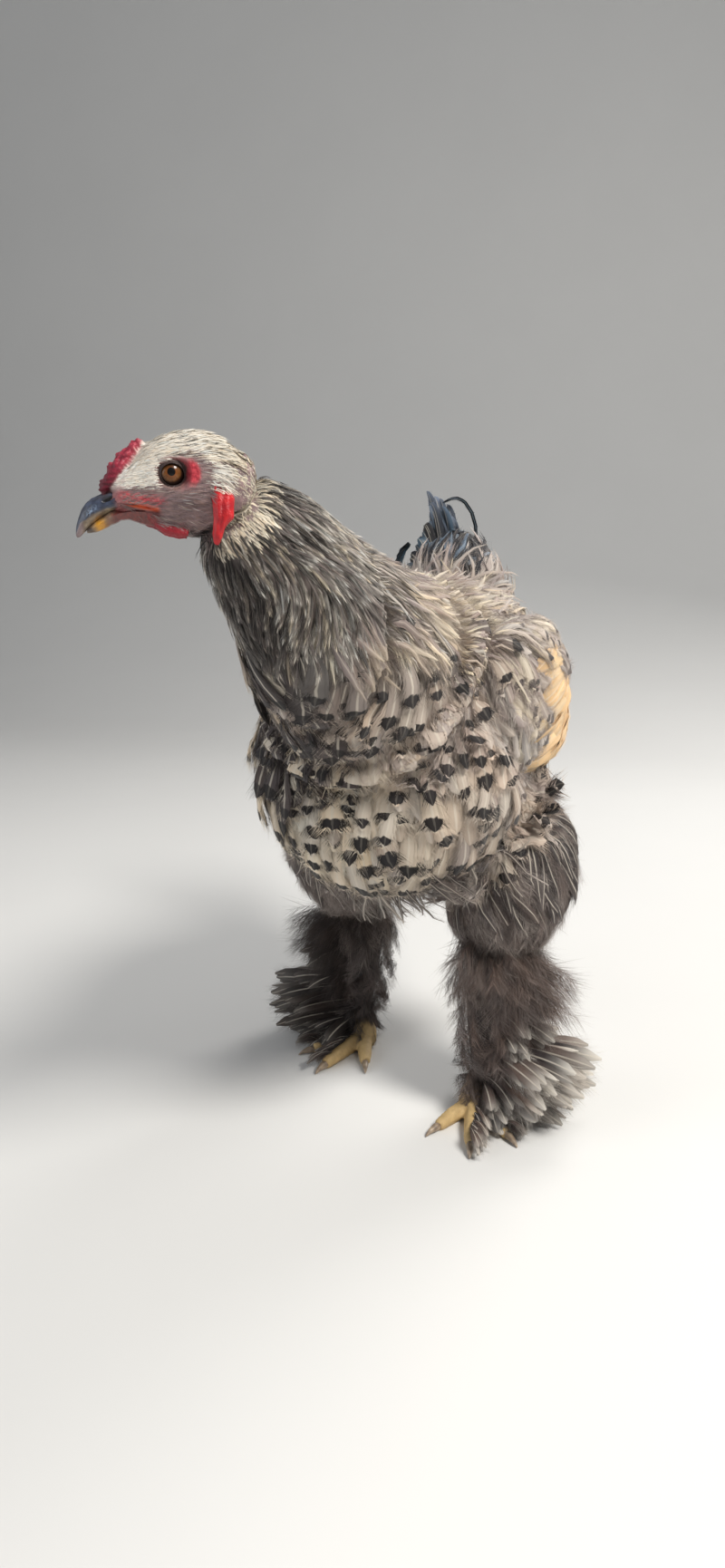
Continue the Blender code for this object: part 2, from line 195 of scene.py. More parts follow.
def nodesOf(*starts):
    return [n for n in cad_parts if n.startswith(starts)]


fleshNodes = [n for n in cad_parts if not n.startswith(("boot", "sickle", "tail_l", "tail_r", "claw"))]


def outlineTree(names):
    corners, faces, owners = [], [], []
    for index, name in enumerate(names):
        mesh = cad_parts[name].data
        start = len(corners)
        corners += [v.co.copy() for v in mesh.vertices]
        faces += [[start + i for i in p.vertices] for p in mesh.polygons]
        owners += [index] * len(mesh.polygons)
    return BVHTree.FromPolygons(corners, faces), np.array(owners)


outline, outlineOwner = outlineTree(fleshNodes)


def nodeAt(points):
    return [fleshNodes[outlineOwner[outline.find_nearest(Vector(p))[2]]] for p in points]


# the skin: one surface over all the flesh, inside the solids by the coat's depth

skinPlan = {
    # the swelling and voxels in metres, and the smoothing passes, of each shell
    "shells": {"body": (0.0006, 0.0050, 6), "leg": (0.0006, 0.0025, 4), "head": (0.0004, 0.00066, 5),
               "foot": (0.0002, 0.0015, 3)},
    # how far in metres the skin lies under the feathers
    "bodyDepth": {"neck_upper": 0.0065, "neck_lower": 0.010, "trunk": 0.012, "wing": 0.006,
                  "flight": 0.004, "thigh": 0.012, "shank": 0.015, "tail_cushion": 0.010},
    # how far in millimetres the joints are filled out, and other places are pushed out or in
    "fill": {"neck": 13.0, "wing": 4.0, "flight": 0.0, "thigh": 3.0, "tail_cushion": 3.0},
    "nape": -3.5, "neckMiddle": 5.0, "thighTop": -15.0, "farWing": -8.0, "lowThigh": 5.0,
}
weldGap = 0.00001
headParts = ("head", "comb", "earlobe", "wattle", "beak", "eye")


def copyOfNodes(names, title, swell):
    deselect()
    for name in names:
        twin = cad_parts[name].copy()
        twin.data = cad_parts[name].data.copy()
        for key in list(twin.keys()):
            del twin[key]
        twin.parent = None
        scene.collection.objects.link(twin)
        twin.select_set(True)
        bpy.context.view_layer.objects.active = twin
    bpy.ops.object.join()
    joined = bpy.context.object
    joined.name = joined.data.name = title
    joined.data.materials.clear()
    with editing(joined, "SELECT"):
        bpy.ops.mesh.remove_doubles(threshold=weldGap)
    if swell:
        push = joined.modifiers.new("swell", "DISPLACE")
        push.mid_level = 0
        push.strength = swell
    return joined


def evenOut(piece, voxel, passes):
    even = piece.modifiers.new("even", "REMESH")
    even.mode = "VOXEL"
    even.voxel_size = voxel
    soften = piece.modifiers.new("soften", "SMOOTH")
    soften.factor = 0.5
    soften.iterations = passes
    applyAll(piece)


def smoothValues(piece, values, passes, share=0.5):
    # each point's value moves towards the mean of its neighbours, by its share
    ends = readRows(piece.data.edges, "vertices", 2, np.int32)
    rows = np.reshape(values, (len(values), -1))
    count = np.maximum(np.bincount(ends.ravel(), minlength=len(rows)), 1)[:, None]
    first, second = ends.T
    for _ in range(passes):
        total = np.stack([
            np.bincount(first, row[second], len(row)) + np.bincount(second, row[first], len(row))
            for row in rows.T
        ], 1)
        rows = rows * (1 - share) + share * total / count
    return rows.reshape(np.shape(values))


def relax(piece, points, share, passes):
    # evens out the points of a seam, as much as the share there says
    return smoothValues(piece, points, passes, np.clip(share, 0, 1)[:, None] * 0.6)


def keepLargest(piece):
    # drops any small shell left inside a narrow gap
    with editing(piece, "SELECT"):
        bpy.ops.mesh.separate(type="LOOSE")
    shells = sorted(bpy.context.selected_objects, key=lambda o: len(o.data.vertices))
    kept = shells.pop()
    for shell in shells:
        bpy.data.objects.remove(shell)
    return kept


def makeShell(names, title):
    swell, voxel, passes = skinPlan["shells"][title]
    shell = copyOfNodes(names, title + "_shell", swell)
    evenOut(shell, voxel, passes)
    return shell


def eyeball(distance):
    # how far out the eyeball's surface stands at a distance from its axis, in millimetres
    radius = eyeRadius * 1000
    return eyeSpread * 1000 + np.sqrt(np.clip(radius ** 2 - distance ** 2, 0, None))


headMap = {   # places on the side of the head, in millimetres forward and up from the eye
    "lid": (5.3, 4.8), "lidCentre": (-0.6, -1.0), "gapeFront": (27.0, -13.2), "gapeCorner": (5.8, -17.0),
}


jawPlan = {   # millimetres that the bill and jaw are raised, at places along the head
    "top": -13.0, "mouth": -20.5, "bottom": -26.8, "tip": 2.2,
    "mouthLift": ((2, 8, 12, 23, 30, 36, 43), (0, 1.5, 3.0, 3.8, 3.2, 1.8, 0)),
    "chinLift": ((4, 9, 12.3, 20, 24, 30, 36, 43), (0, 0.5, 1.2, 5.0, 5.3, 3.6, 1.5, 0)),
}


def jawLift(local):
    # a slim bill: its mouth line and its lower edge rise, and its tip hooks less
    plan = jawPlan
    forward, up = local[:, 0], local[:, 2]
    mouth, chin = np.interp(forward, *plan["mouthLift"]), np.interp(forward, *plan["chinLift"])
    toMouth = np.clip((plan["top"] - up) / (plan["top"] - plan["mouth"]), 0, 1)
    toChin = np.clip((plan["mouth"] - up) / (plan["mouth"] - plan["bottom"]), 0, 1)
    return (mouth * toMouth + (chin - mouth) * toChin + plan["tip"] * ease(30, 45, forward)) / 1000


def lidRing(local):
    # 1 on the rim of the lids, more outside it
    x, z = headMap["lidCentre"]
    return np.hypot((local[:, 0] - x) / headMap["lid"][0], (local[:, 2] - z) / headMap["lid"][1])


def pebbles(points, size, seed=0.0):
    # rounded grains, 0 in the furrows and 1 on top
    grain = np.array([noise.voronoi(Vector(p) / size + Vector((seed, 0, 0)))[0][0] for p in points])
    return np.clip(1.15 - grain * 1.5, 0, 1)


def headFeatures(local):
    # masks over the head, 0 to 1, that shape, skin colour and small feathers all share
    forward, side, up = local[:, 0], np.abs(local[:, 1]), local[:, 2]
    ring = lidRing(local)
    lateral = ease(5.0, 9.0, side)
    (x0, z0), (x1, z1) = headMap["gapeFront"], headMap["gapeCorner"]
    run = np.hypot(x1 - x0, z1 - z0)
    reach = ((forward - x0) * (x1 - x0) + (up - z0) * (z1 - z0)) / run ** 2
    off = ((forward - x0) * (z1 - z0) - (up - z0) * (x1 - x0)) / run
    return {
        "ring": ring,
        "lateral": lateral,
        "gape": ease(0.18, 0.45, reach) * (1 - ease(0.92, 1.04, reach)) * bell(off, 0.1, 1.0),
        "mouth": ease(0.05, 0.3, reach) * (1 - ease(0.95, 1.08, reach)) * bell(off, -1.5, 0.65),
        "patch": lateral * ease(1.02, 1.15, ring) * (1 - ease(2.1, 2.6, ring))
        * ease(2.5, 5.0, -forward) * bell(up, -0.2, 5.2),
        "strip": bell(off, 3.6, 2.6) * ease(-0.1, 0.25, reach) * (1 - ease(0.85, 1.25, reach)),
        "jaw": bell(off, -4.2, 2.6) * ease(-0.1, 0.1, reach) * (1 - ease(0.75, 1.05, reach)),
        "chinRed": ease(-21.5, -24.5, up) * ease(-8, -4, forward) * (1 - ease(10, 15, forward)),
        "lore": lateral * bell(forward, 14, 5) * bell(up, -3, 5),
        "face": ease(5.0, 0.5, up + 0.25 * forward) * ease(-27, -19, forward) * ease(-31, -26, up),
        "crown": ease(3.0, 10.0, up + 0.20 * forward),
        "throat": ease(-23.0, -27.0, up - 0.1 * forward) * (1 - ease(6, 16, forward)),
    }


def nodeShare(piece, names, starts, passes):
    return smoothValues(piece, np.array([float(n.startswith(starts)) for n in names]), passes)


def earFold(local, width):
    # the upright fold down the middle of the earlobe
    return bell(local[:, 0] + 0.10 * (local[:, 2] + 16), -22.6, width) * ease(-27, -22, local[:, 2])


def shapeHead(skin, points, names):
    # millimetres outwards over the head
    local = toHead(points)
    forward, _, up = local.T
    mask = headFeatures(local)
    isComb, isLobe, isWattle, isBeak = (
        nodeShare(skin, names, start, passes)
        for start, passes in (("comb", 3), ("earlobe", 2), ("wattle", 2), ("beak", 3)))
    bare = np.clip(isComb + isLobe + isWattle, 0, 1)
    depth = 0.6 + 1.9 * mask["crown"] + 1.0 * mask["throat"]
    depth = depth * (1 - bare) + 0.1 * bare
    outward = -(depth * (1 - isBeak) + 1.6 * isBeak)
    grains = pebbles(local, 2.8) * 1.5 - 0.75 + 0.35 * pebbles(local, 1.4, 5.0)
    creases = 0.30 * np.sin(up * 2.9 + 0.5 * forward + 1.6 * drift(local, 0.3)) - 0.3
    low = ease(4.0, -2.0, up)
    outward += isComb * (grains * (1 - low) + creases * low)
    outward += isLobe * (0.35 * (pebbles(local * (1, 1, 0.45), 2.4, 9.0) - 0.5) - 0.4 * earFold(local, 0.9))
    outward += isWattle * 0.3 * (pebbles(local, 2.0, 3.0) - 0.5)
    pleats = np.sin(forward * 3.4 + 1.2 * drift(local, 0.4)) * bell(forward, -6.5, 1.8)
    outward += mask["patch"] * (0.6 * pebbles(local, 1.5, 2.0) + 0.25 * pleats - 0.1)
    outward += mask["gape"] * 0.8 - mask["mouth"] * 1.1
    rumple = np.sin(forward * 1.5 + 2.2 * up + 3.0 * drift(local, 0.25, 6.0))
    outward += (mask["strip"] + 0.6 * mask["jaw"]) * (0.30 * rumple + 0.25)
    outward += mask["lateral"] * bell(up, 6.9, 1.7) * bell(forward, 1.5, 7.5) * 1.5   # the brow
    outward += mask["lateral"] * bell(up, -13.0, 6.0) * bell(forward, -9.0, 8.0) * 0.7   # the cheek
    outward -= mask["lore"] * 0.9
    wrinkle = np.sin(up * 2.6 + forward * 0.5 + 2.5 * drift(local, 0.22))
    return outward + (1 - bare) * (1 - isBeak) * mask["face"] * 0.16 * wrinkle


lidPlan = {   # millimetres, and shares of the ring round the eye
    "rim": 0.055, "thick": 0.6, "hood": 0.9, "fold": 0.24, "sunk": 1.8, "edge": 1.02, "outside": 1.75,
}


def setLids(points, isHead):
    # the lids lie on the eyeball, and the socket's floor sinks behind it
    plan = lidPlan
    moved = toHead(points)
    side, out = np.sign(moved[:, 1]), np.abs(moved[:, 1])
    ring = lidRing(moved)
    nearEye = (out > 5.5) & (ring < 2.0) & (isHead > 0.5)
    onRim = nearEye & (np.abs(ring - 1.0) < plan["rim"])
    for axis, middle in zip((0, 2), headMap["lidCentre"]):
        snapped = middle + (moved[:, axis] - middle) / ring
        moved[:, axis] = np.where(onRim, snapped, moved[:, axis])
    ring = np.where(onRim, 1.0, ring)
    distance = np.hypot(moved[:, 0], moved[:, 2])
    hood = ease(-1.0, 3.0, moved[:, 2]) * ease(1.9, 1.0, ring)   # the upper lid stands out the farthest
    edge = eyeball(np.minimum(distance, 5.9)) + plan["thick"] + plan["hood"] * hood
    folds = plan["fold"] * np.sin((ring - 1.0) * 24.0) * np.exp(-np.abs(ring - 1.0) / 0.34)
    share = ease(plan["edge"], plan["outside"], ring)
    lifted = edge * (1 - share) + out * share + folds
    shaped = np.where(ring < 0.97, eyeball(distance) - plan["sunk"], lifted)
    moved[:, 1] = np.where(nearEye, side * shaped, moved[:, 1])
    return np.where(nearEye[:, None], fromHead(moved), points)


def shapeFeet(points, normals):
    # rings of scutes over the tops of the toes, in millimetres
    push = np.zeros(len(points))
    top = ease(-0.2, 0.5, normals[:, 2])
    scuteLength, scuteHeight = 3.2, 0.45
    for title in ("foot_left", "foot_right"):
        low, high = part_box(title)
        hub = np.array([(low.x + high.x) / 2, (low.y + high.y) / 2 + 0.006])
        near = np.hypot(*(points[:, :2] - hub).T)
        mine = (np.sign(points[:, 0]) == np.sign(hub[0])) & (points[:, 2] < high.z + 0.002)
        scutes = np.abs(np.sin(near * 1000 * math.pi / scuteLength))
        push = np.where(mine, scuteHeight * top * scutes - 0.4, push)
    return push


def refineEyes(skin):
    # finer faces where the lids and the face beside them are shaped
    local = toHead(pointsOf(skin))
    fine = (lidRing(local) < 1.45) & (np.abs(local[:, 1]) > 5)
    with editing(skin, "DESELECT"):
        pass
    skin.data.vertices.foreach_set("select", fine)
    for face in skin.data.polygons:
        face.select = all(fine[i] for i in face.vertices)
    with editing(skin):
        bpy.ops.mesh.subdivide(number_cuts=1, smoothness=0)
        bpy.ops.mesh.select_all(action="SELECT")
        bpy.ops.mesh.quads_convert_to_tris()


def makeLegs():
    # the shank copies reach a little into the thigh and the foot, so that the three weld
    swell, voxel, passes = skinPlan["shells"]["leg"]
    leg = copyOfNodes(["shank_left", "shank_right"], "leg_shell", swell)
    points = pointsOf(leg)
    height = points[:, 2].copy()
    low, high = height.min(), height.max()
    points[:, 2] += 0.010 * ease(high - 0.02, high, height) - 0.006 * ease(low + 0.02, low, height)
    movePoints(leg, points)
    evenOut(leg, voxel, passes)
    return leg


def weldFlesh():
    # the body, legs, feet and head as one closed surface
    headNodes = [n for n in fleshNodes if n.startswith(headParts)]
    bodyNodes = [n for n in fleshNodes if n.startswith(tuple(skinPlan["bodyDepth"])) and "shank" not in n]
    skin = keepLargest(makeShell(bodyNodes, "body"))
    head = keepLargest(makeShell(headNodes, "head"))
    foot = makeShell(["foot_left", "foot_right"], "foot")
    for other in (makeLegs(), foot, head):
        weld = skin.modifiers.new("weld", "BOOLEAN")
        weld.operation = "UNION"
        weld.solver = "EXACT"
        weld.object = other
        applyAll(skin)
        bpy.data.objects.remove(other)
    skin.name = "skin"
    with editing(skin, "SELECT"):
        bpy.ops.mesh.remove_doubles(threshold=weldGap)
        bpy.ops.mesh.quads_convert_to_tris()
        bpy.ops.mesh.normals_make_consistent(inside=False)
    skin = keepLargest(skin)
    skin.name = skin.data.name = "skin"
    refineEyes(skin)
    return skin


def meeting(share):
    # 1 where a part meets its neighbours, 0 well inside and well outside it
    return ease(0.01, 0.20, share * (1 - share))


def joinSkin():
    plan = skinPlan
    skin = weldFlesh()
    points = pointsOf(skin)
    names = nodeAt(points)
    shareOf = partial(nodeShare, skin, names)
    isHead, isFoot = shareOf(headParts, 12), shareOf("foot", 12)
    offHead = ease(0.3, 0.0, isHead)
    seam = meeting(isHead) + meeting(isFoot)
    points = relax(skin, points, seam, 30)
    joints, fill = np.zeros(len(points)), np.zeros(len(points))
    for start, most in plan["fill"].items():
        share = shareOf(start, 16)
        joints = np.maximum(joints, meeting(share))
        fill = np.maximum(fill, 4 * share * (1 - share) * most)
    fill *= ease(-0.245, -0.22, toBird(points)[:, 1]) * offHead
    points = relax(skin, points, joints * offHead, 45)
    points = relax(skin, points, 0.8 * shareOf("comb", 2), 9)
    movePoints(skin, points)

    normals = normalsOf(skin)
    broad = unit(smoothValues(skin, normals, 8))
    normals = unit(blend(broad, normals, ease(0.7, 0.97, isHead)))
    bodyDepth = np.array([
        1000 * next((d for start, d in plan["bodyDepth"].items() if name.startswith(start)), 0.001)
        for name in names
    ])
    bodyDepth = smoothValues(skin, bodyDepth, 10)
    outward = shapeHead(skin, points, names)
    push = -bodyDepth * (1 - isHead) * (1 - isFoot) + outward * isHead + shapeFeet(points, normals) * isFoot
    local, bird = toHead(points), toBird(points)
    upward = ease(0.1, 0.6, normals[:, 2])
    # the nape runs straight on from the crown
    push += plan["nape"] * bell(local[:, 0], -32, 12) * upward * ease(-12, -4, local[:, 2])
    push += plan["neckMiddle"] * bell(local[:, 0], -82, 24) * upward
    push += fill
    onLeg = shareOf("thigh", 8)
    push += plan["thighTop"] * onLeg * ease(0.198, 0.238, bird[:, 2])
    push += plan["farWing"] * shareOf("wing_right", 8) * ease(0.02, -0.04, bird[:, 1])
    push += plan["lowThigh"] * onLeg * bell(bird[:, 2], 0.140, 0.022)

    moved = setLids(points + normals * push[:, None] / 1000, isHead)
    moved[:, 2] = np.clip(moved[:, 2] + jawLift(local) * isHead, 0.0, None)
    drop = shareOf("earlobe", 2) * ease(-20, -27, local[:, 2])
    slim = toHead(moved)
    slim[:, 0] += drop * (1.2 - 0.22 * (slim[:, 0] + 22.0))   # the earlobe narrows towards its lower end
    movePoints(skin, relax(skin, fromHead(slim), seam, 12))
    shadeSmooth(skin)
    return skin


skin = joinSkin()
print("skin", len(skin.data.polygons), "triangles")


def unwrap(piece):
    with editing(piece, "SELECT"):
        bpy.ops.uv.smart_project(angle_limit=math.radians(66), island_margin=0.002)
    piece.data.uv_layers[0].name = "OFBake"


unwrap(skin)
print("skin unwrapped")


def readSurface(piece):
    # all that growing feathers needs to know of the skin, face by face
    mesh = piece.data
    corners = readRows(mesh.loops, "vertex_index", 1, np.int32).reshape(-1, 3)
    points = pointsOf(piece)
    trio = points[corners]
    return {
        "trio": trio, "centre": trio.mean(1), "normal": unit(normalsOf(piece)[corners].mean(1)),
        "area": np.linalg.norm(np.cross(trio[:, 1] - trio[:, 0], trio[:, 2] - trio[:, 0]), axis=1) / 2,
        "tree": BVHTree.FromPolygons(points.tolist(), corners.tolist()),
        "map": readRows(mesh.uv_layers["OFBake"].data, "uv", 2).reshape(-1, 3, 2).mean(1),
    }


surface = readSurface(skin)


def faceNear(spots):
    # the skin's face nearest to each spot
    return [surface["tree"].find_nearest(Vector(spot))[2] for spot in spots]

outlineHits = [outline.find_nearest(Vector(p)) for p in surface["centre"]]
surface["node"] = np.array([fleshNodes[outlineOwner[hit[2]]] for hit in outlineHits])
surface["depth"] = np.array([hit[3] for hit in outlineHits])
surface["bird"] = toBird(surface["centre"])
surface["head"] = toHead(surface["centre"])
print("surface read")


# the way the feathers lie

neckAside = 0.004   # how far the neck's middle lies to the right
neckLine = np.array([   # height of the neck's middle for each place along the bird
    (-0.300, 0.446), (-0.258, 0.416), (-0.204, 0.380), (-0.146, 0.352), (-0.092, 0.335), (-0.040, 0.326),
])


def neckMiddle(y):
    return np.interp(y, neckLine[:, 0], neckLine[:, 1])


def lie(points, kind):
    # the way feathers point, at each place
    bird = toBird(points)
    x, y, z = bird.T
    side = np.sign(x)

    def arrow(*parts):
        return np.stack([np.zeros(len(bird)) + part for part in parts], 1)

    if kind == "head":
        forward, _, up = toHead(points).T
        sink = -0.55 * ease(-8, -24, up) - 0.6 * ease(-10, -30, forward)
        return arrow(-1, 0, -0.05 + sink + 0.25 * ease(2, 12, up) * ease(-2, 20, forward)) @ headAxes.T
    if kind == "neck":
        slope = np.interp(y, neckLine[:, 0], np.gradient(neckLine[:, 1], neckLine[:, 0]))
        under = ease(0.005, -0.05, z - neckMiddle(y))
        flare = 0.10 + 0.30 * ease(-0.20, -0.08, y)
        return arrow(flare * side, 1 - 0.75 * under, slope - 0.55 * under - 0.1)
    if kind == "trunk":
        way = blend(arrow(0.12 * x / 0.1, 0.12, -1), arrow(0, 1, -0.42), ease(-0.11, 0.07, y))
        way = blend(way, arrow(0.10 * side, 1, -0.12), ease(0.335, 0.385, z))
        way = blend(way, arrow(0.4 * x / 0.1, 0.25, -1), ease(0.05, 0.13, y) * ease(0.34, 0.28, z))
        return blend(way, arrow(0, 0.8, 0.5), ease(0.10, 0.17, y) * ease(0.30, 0.36, z))
    if kind == "wing":
        way = blend(arrow(0.1 * side, 0.5, -1), arrow(0, 1, -0.24), ease(-0.12, 0.02, y))
        return blend(way, arrow(0.25 * side, 1, -0.2), ease(0.345, 0.375, z))
    if kind == "shank":
        middle = np.where(x > 0, 0.061, -0.060)
        outer = np.clip((x - middle) * side / 0.02, 0, 1)
        return arrow(side * (0.15 + 0.55 * outer), 0.12, -1)
    return arrow(*{
        "flight": (0, 1, 0.20), "thigh": (0.25 * side, 0.22, -1), "fringe": (0.30 * side, 0.8, -0.55),
        "belly": (0.15, 0.9, -0.4), "cushion": (0, 0.6, 1),
    }[kind])


def scatter(weight, spacing):
    # roots on the skin no nearer than the spacing, more likely where the weight is high
    odds = surface["area"] * weight / spacing ** 2
    if odds.sum() <= 0:
        return np.zeros(0, int), np.zeros((0, 3))
    tries = int(odds.sum() * 4) + 1
    faces = chance.choice(len(odds), tries, p=odds / odds.sum())
    a, b = chance.random(tries), chance.random(tries)
    flip = a + b > 1
    a[flip], b[flip] = 1 - a[flip], 1 - b[flip]
    trio = surface["trio"][faces]
    spots = trio[:, 0] + a[:, None] * (trio[:, 1] - trio[:, 0]) + b[:, None] * (trio[:, 2] - trio[:, 0])
    taken, kept = {}, []
    for i, spot in enumerate(spots):
        x, y, z = (spot // spacing).astype(int)
        near = [other for dx, dy, dz in product((-1, 0, 1), repeat=3)
                for other in taken.get((x + dx, y + dy, z + dz), ())]
        if not near or ((spots[near] - spot) ** 2).sum(1).min() >= spacing ** 2:
            taken.setdefault((x, y, z), []).append(i)
            kept.append(i)
    return faces[kept], spots[kept]


commonStyle = {   # what every feather has, unless its own plan says otherwise
    "stations": 6, "columns": (-1, 0, 1), "core": 0.6, "cup": 0.25, "roll": 10,   # the vane
    "barbSpan": (0.12, 0.97), "barbRoot": 0.3, "barbThick": 0.0006, "fray": 0.2, "slant": 38, "fuzz": 0.10,
    "lock": 12, "seed": 0, "uneven": 0.25, "curl": 0.0,   # how it lies beside its neighbours
    "rootShade": 0.55, "tipShare": 0.8, "tipFrom": 0.7, "shaft": 0.3,   # its colour
}
fiveColumns = (-1, -0.5, 0, 0.5, 1)


def styled(**own):
    return {**commonStyle, **own}


def around(count, spread, low, high):
    # a factor near 1 for each feather
    return np.clip(1 + spread * chance.standard_normal(count), low, high)


def layDown(faces, spots, lengths, style, boost):
    # the middle line of each feather, which follows the skin and rises from it
    stations = style["stations"]
    count = len(spots)
    line, up = np.zeros((2, count, stations, 3))
    ground = spots.copy()
    normal, depth = surface["normal"][faces], surface["depth"][faces]
    yaw = np.radians(style["stray"]) * chance.standard_normal(count)
    yaw += np.radians(style["lock"]) * drift(spots, 45.0, style["seed"])
    lift = boost * (1 + style["uneven"] * np.clip(chance.standard_normal(count), -2.0, 1.2))
    if "riseBy" in style:
        lift = lift * style["riseBy"](spots)
    curl = style["curl"] * np.clip(0.4 + 0.8 * chance.standard_normal(count), -0.3, 1.8)
    for k in range(stations):
        u = k / (stations - 1)
        if k:
            way = lie(ground, style["lie"])
            way = unit(way - (way * normal).sum(1, keepdims=True) * normal)
            way = way * np.cos(yaw)[:, None] + np.cross(normal, way) * np.sin(yaw)[:, None]
            ground = ground + way * (lengths / (stations - 1))[:, None]
            for i in range(count):
                ground[i], _, face, _ = surface["tree"].find_nearest(Vector(ground[i]))
                normal[i] = surface["normal"][face]
                depth[i] = surface["depth"][face]
        rise = depth * (style["root"] + (style["tip"] - style["root"]) * u ** 0.8) * lift
        rise += curl * lengths * max(0.0, u - 0.45) ** 2
        line[:, k] = ground + normal * rise[:, None]
        up[:, k] = normal
    return line, up


def along3(values, share):
    # values at stations, read between them at shares from 0 to 1
    place = np.clip(share, 0, 1) * (values.shape[1] - 1)
    low = np.minimum(place.astype(int), values.shape[1] - 2)
    rest = (place - low)[..., None]
    rows = np.arange(len(values))[:, None]
    return values[rows, low] * (1 - rest) + values[rows, low + 1] * rest


profiles = {   # half width of the vane along the feather, as shares
    "round": ((0, 0.15, 0.4, 0.7, 0.9, 1), (0.15, 0.55, 0.90, 1.0, 0.72, 0.25)),
    "broad": ((0, 0.15, 0.4, 0.7, 0.86, 0.95, 1), (0.15, 0.5, 0.82, 1.0, 0.90, 0.55, 0.12)),
    "lance": ((0, 0.15, 0.4, 0.65, 0.85, 1), (0.2, 0.75, 1.0, 0.72, 0.36, 0.03)),
    "strap": ((0, 0.1, 0.4, 0.8, 0.94, 1), (0.3, 0.75, 1.0, 1.0, 0.75, 0.2)),
    "down": ((0, 0.2, 0.6, 1), (0.5, 1.0, 0.9, 0.25)),
    "sickle": ((0, 0.1, 0.5, 0.75, 0.9, 1), (0.35, 0.8, 1.0, 0.88, 0.55, 0.06)),
}


def weave(line, up, halfWidth, style):
    # vanes and barbs for many feathers at once: points, triangles, owner, share along and across
    count, stations = line.shape[:2]
    tangent = unit(np.gradient(line, axis=1))
    across = unit(np.cross(tangent, up))
    roll = np.radians(style["roll"]) * chance.standard_normal(count)[:, None, None]
    across = across * np.cos(roll) + np.cross(across, tangent) * np.sin(roll)
    facing = np.cross(across, tangent)
    profile, core, cup = profiles[style["shape"]], style["core"], style["cup"]
    ids = np.arange(count)
    points, triangles, owner, alongs, acrosses = [], [], [], [], []
    base = 0
    if core > 0:
        columns = np.array(style["columns"])
        wide = len(columns)
        u = np.linspace(0, 1, stations)
        half = np.interp(u, *profile)[None, :] * halfWidth[:, None] * core
        points.append(np.stack([
            line + across * (v * half)[..., None] - facing * (cup * v * v * half)[..., None] for v in columns
        ], 2).reshape(-1, 3))
        k, c = np.meshgrid(np.arange(stations - 1), np.arange(wide - 1), indexing="ij")
        a = (k * wide + c).ravel()
        quad = np.stack([a, a + 1, a + 1 + wide, a, a + 1 + wide, a + wide], 1).reshape(-1, 3)
        triangles.append((quad[None] + (ids * stations * wide)[:, None, None]).reshape(-1, 3))
        owner.append(np.repeat(ids, stations * wide))
        alongs.append(np.tile(np.repeat(u, wide), count))
        acrosses.append(np.tile(columns * core, stations * count))
        base = count * stations * wide
    length = np.linalg.norm(np.diff(line, axis=1), axis=2).sum(1)[:, None]
    barbs, inner = style["barbs"], style["barbRoot"]
    even = np.linspace(*style["barbSpan"], barbs)[None, :]
    for side in (-1.0, 1.0):
        u = even + chance.uniform(-0.5, 0.5, (count, barbs)) / barbs
        gap = style["barbThick"] / length * (0.7 + 0.6 * chance.random(u.shape))
        half = np.interp(u, *profile) * halfWidth[:, None]
        reach = half * around(u.shape, style["fray"], 0.3, 1.7)
        slant = np.radians(style["slant"]) * (1 + 0.15 * chance.standard_normal(u.shape))
        sweep = np.clip(reach, 0.0002, None) / np.tan(slant) * (1 - inner * 0.8)
        tipShare = np.minimum(u + sweep / length, 1.02 + 0.14 * chance.random(u.shape))
        over = np.clip(tipShare - 1, 0, None) * length
        mid, end = np.minimum(u + gap, 1), np.minimum(tipShare, 1)
        aside = along3(across, u) * (side * inner * half)[..., None]
        tip = along3(line, end) + along3(tangent, end) * over[..., None]
        tip = tip + along3(across, tipShare) * (side * reach)[..., None]
        lift = style["fuzz"] * chance.standard_normal(u.shape) * reach - cup * reach
        tip = tip + along3(facing, u) * lift[..., None]

        def wound(first, second, last):
            # both sides' barbs face the same way
            return np.stack((first, second, last) if side < 0 else (first, last, second), 2)

        points.append(wound(along3(line, u) + aside, along3(line, mid) + aside, tip).reshape(-1, 3))
        triangles.append(base + np.arange(count * barbs * 3).reshape(-1, 3))
        owner.append(np.repeat(ids, barbs * 3))
        alongs.append(wound(u, mid, np.minimum(tipShare, 1.08)).ravel())
        acrosses.append((side * wound(inner + 0 * u, inner + 0 * u, 1 + 0 * u)).ravel())
        base += count * barbs * 3
    return [np.concatenate(rows) for rows in (points, triangles, owner, alongs, acrosses)]


def buildCoat(title, batches, material):
    # joins batches of woven feathers into one mesh, with their colours and their place on the skin's map
    whole = {key: np.concatenate([batch[key] for batch in batches])
             for key in ("points", "tint", "shade", "mark", "map")}
    shifts = np.cumsum([0] + [len(batch["points"]) for batch in batches])
    faces = np.concatenate([batch["triangles"] + shift for batch, shift in zip(batches, shifts)])
    faces = faces.astype(np.int32)
    mesh = bpy.data.meshes.new(title)
    mesh.vertices.add(len(whole["points"]))
    mesh.vertices.foreach_set("co", whole["points"].astype(np.float32).ravel())
    mesh.loops.add(len(faces) * 3)
    mesh.loops.foreach_set("vertex_index", faces.ravel())
    mesh.polygons.add(len(faces))
    mesh.polygons.foreach_set("loop_start", np.arange(0, len(faces) * 3, 3, dtype=np.int32))
    mesh.update(calc_edges=True)
    piece = bpy.data.objects.new(title, mesh)
    scene.collection.objects.link(piece)
    for name in ("tint", "shade", "mark"):
        paintPoints(piece, name, whole[name][:, :3], whole[name][:, 3])
    layer = mesh.uv_layers.new(name="OFBake")
    layer.data.foreach_set("uv", whole["map"].astype(np.float32)[faces.ravel()].ravel())
    mesh.materials.append(material)
    mesh.shade_smooth()
    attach(piece, "root")
    print(title, len(faces), "triangles")
    return piece


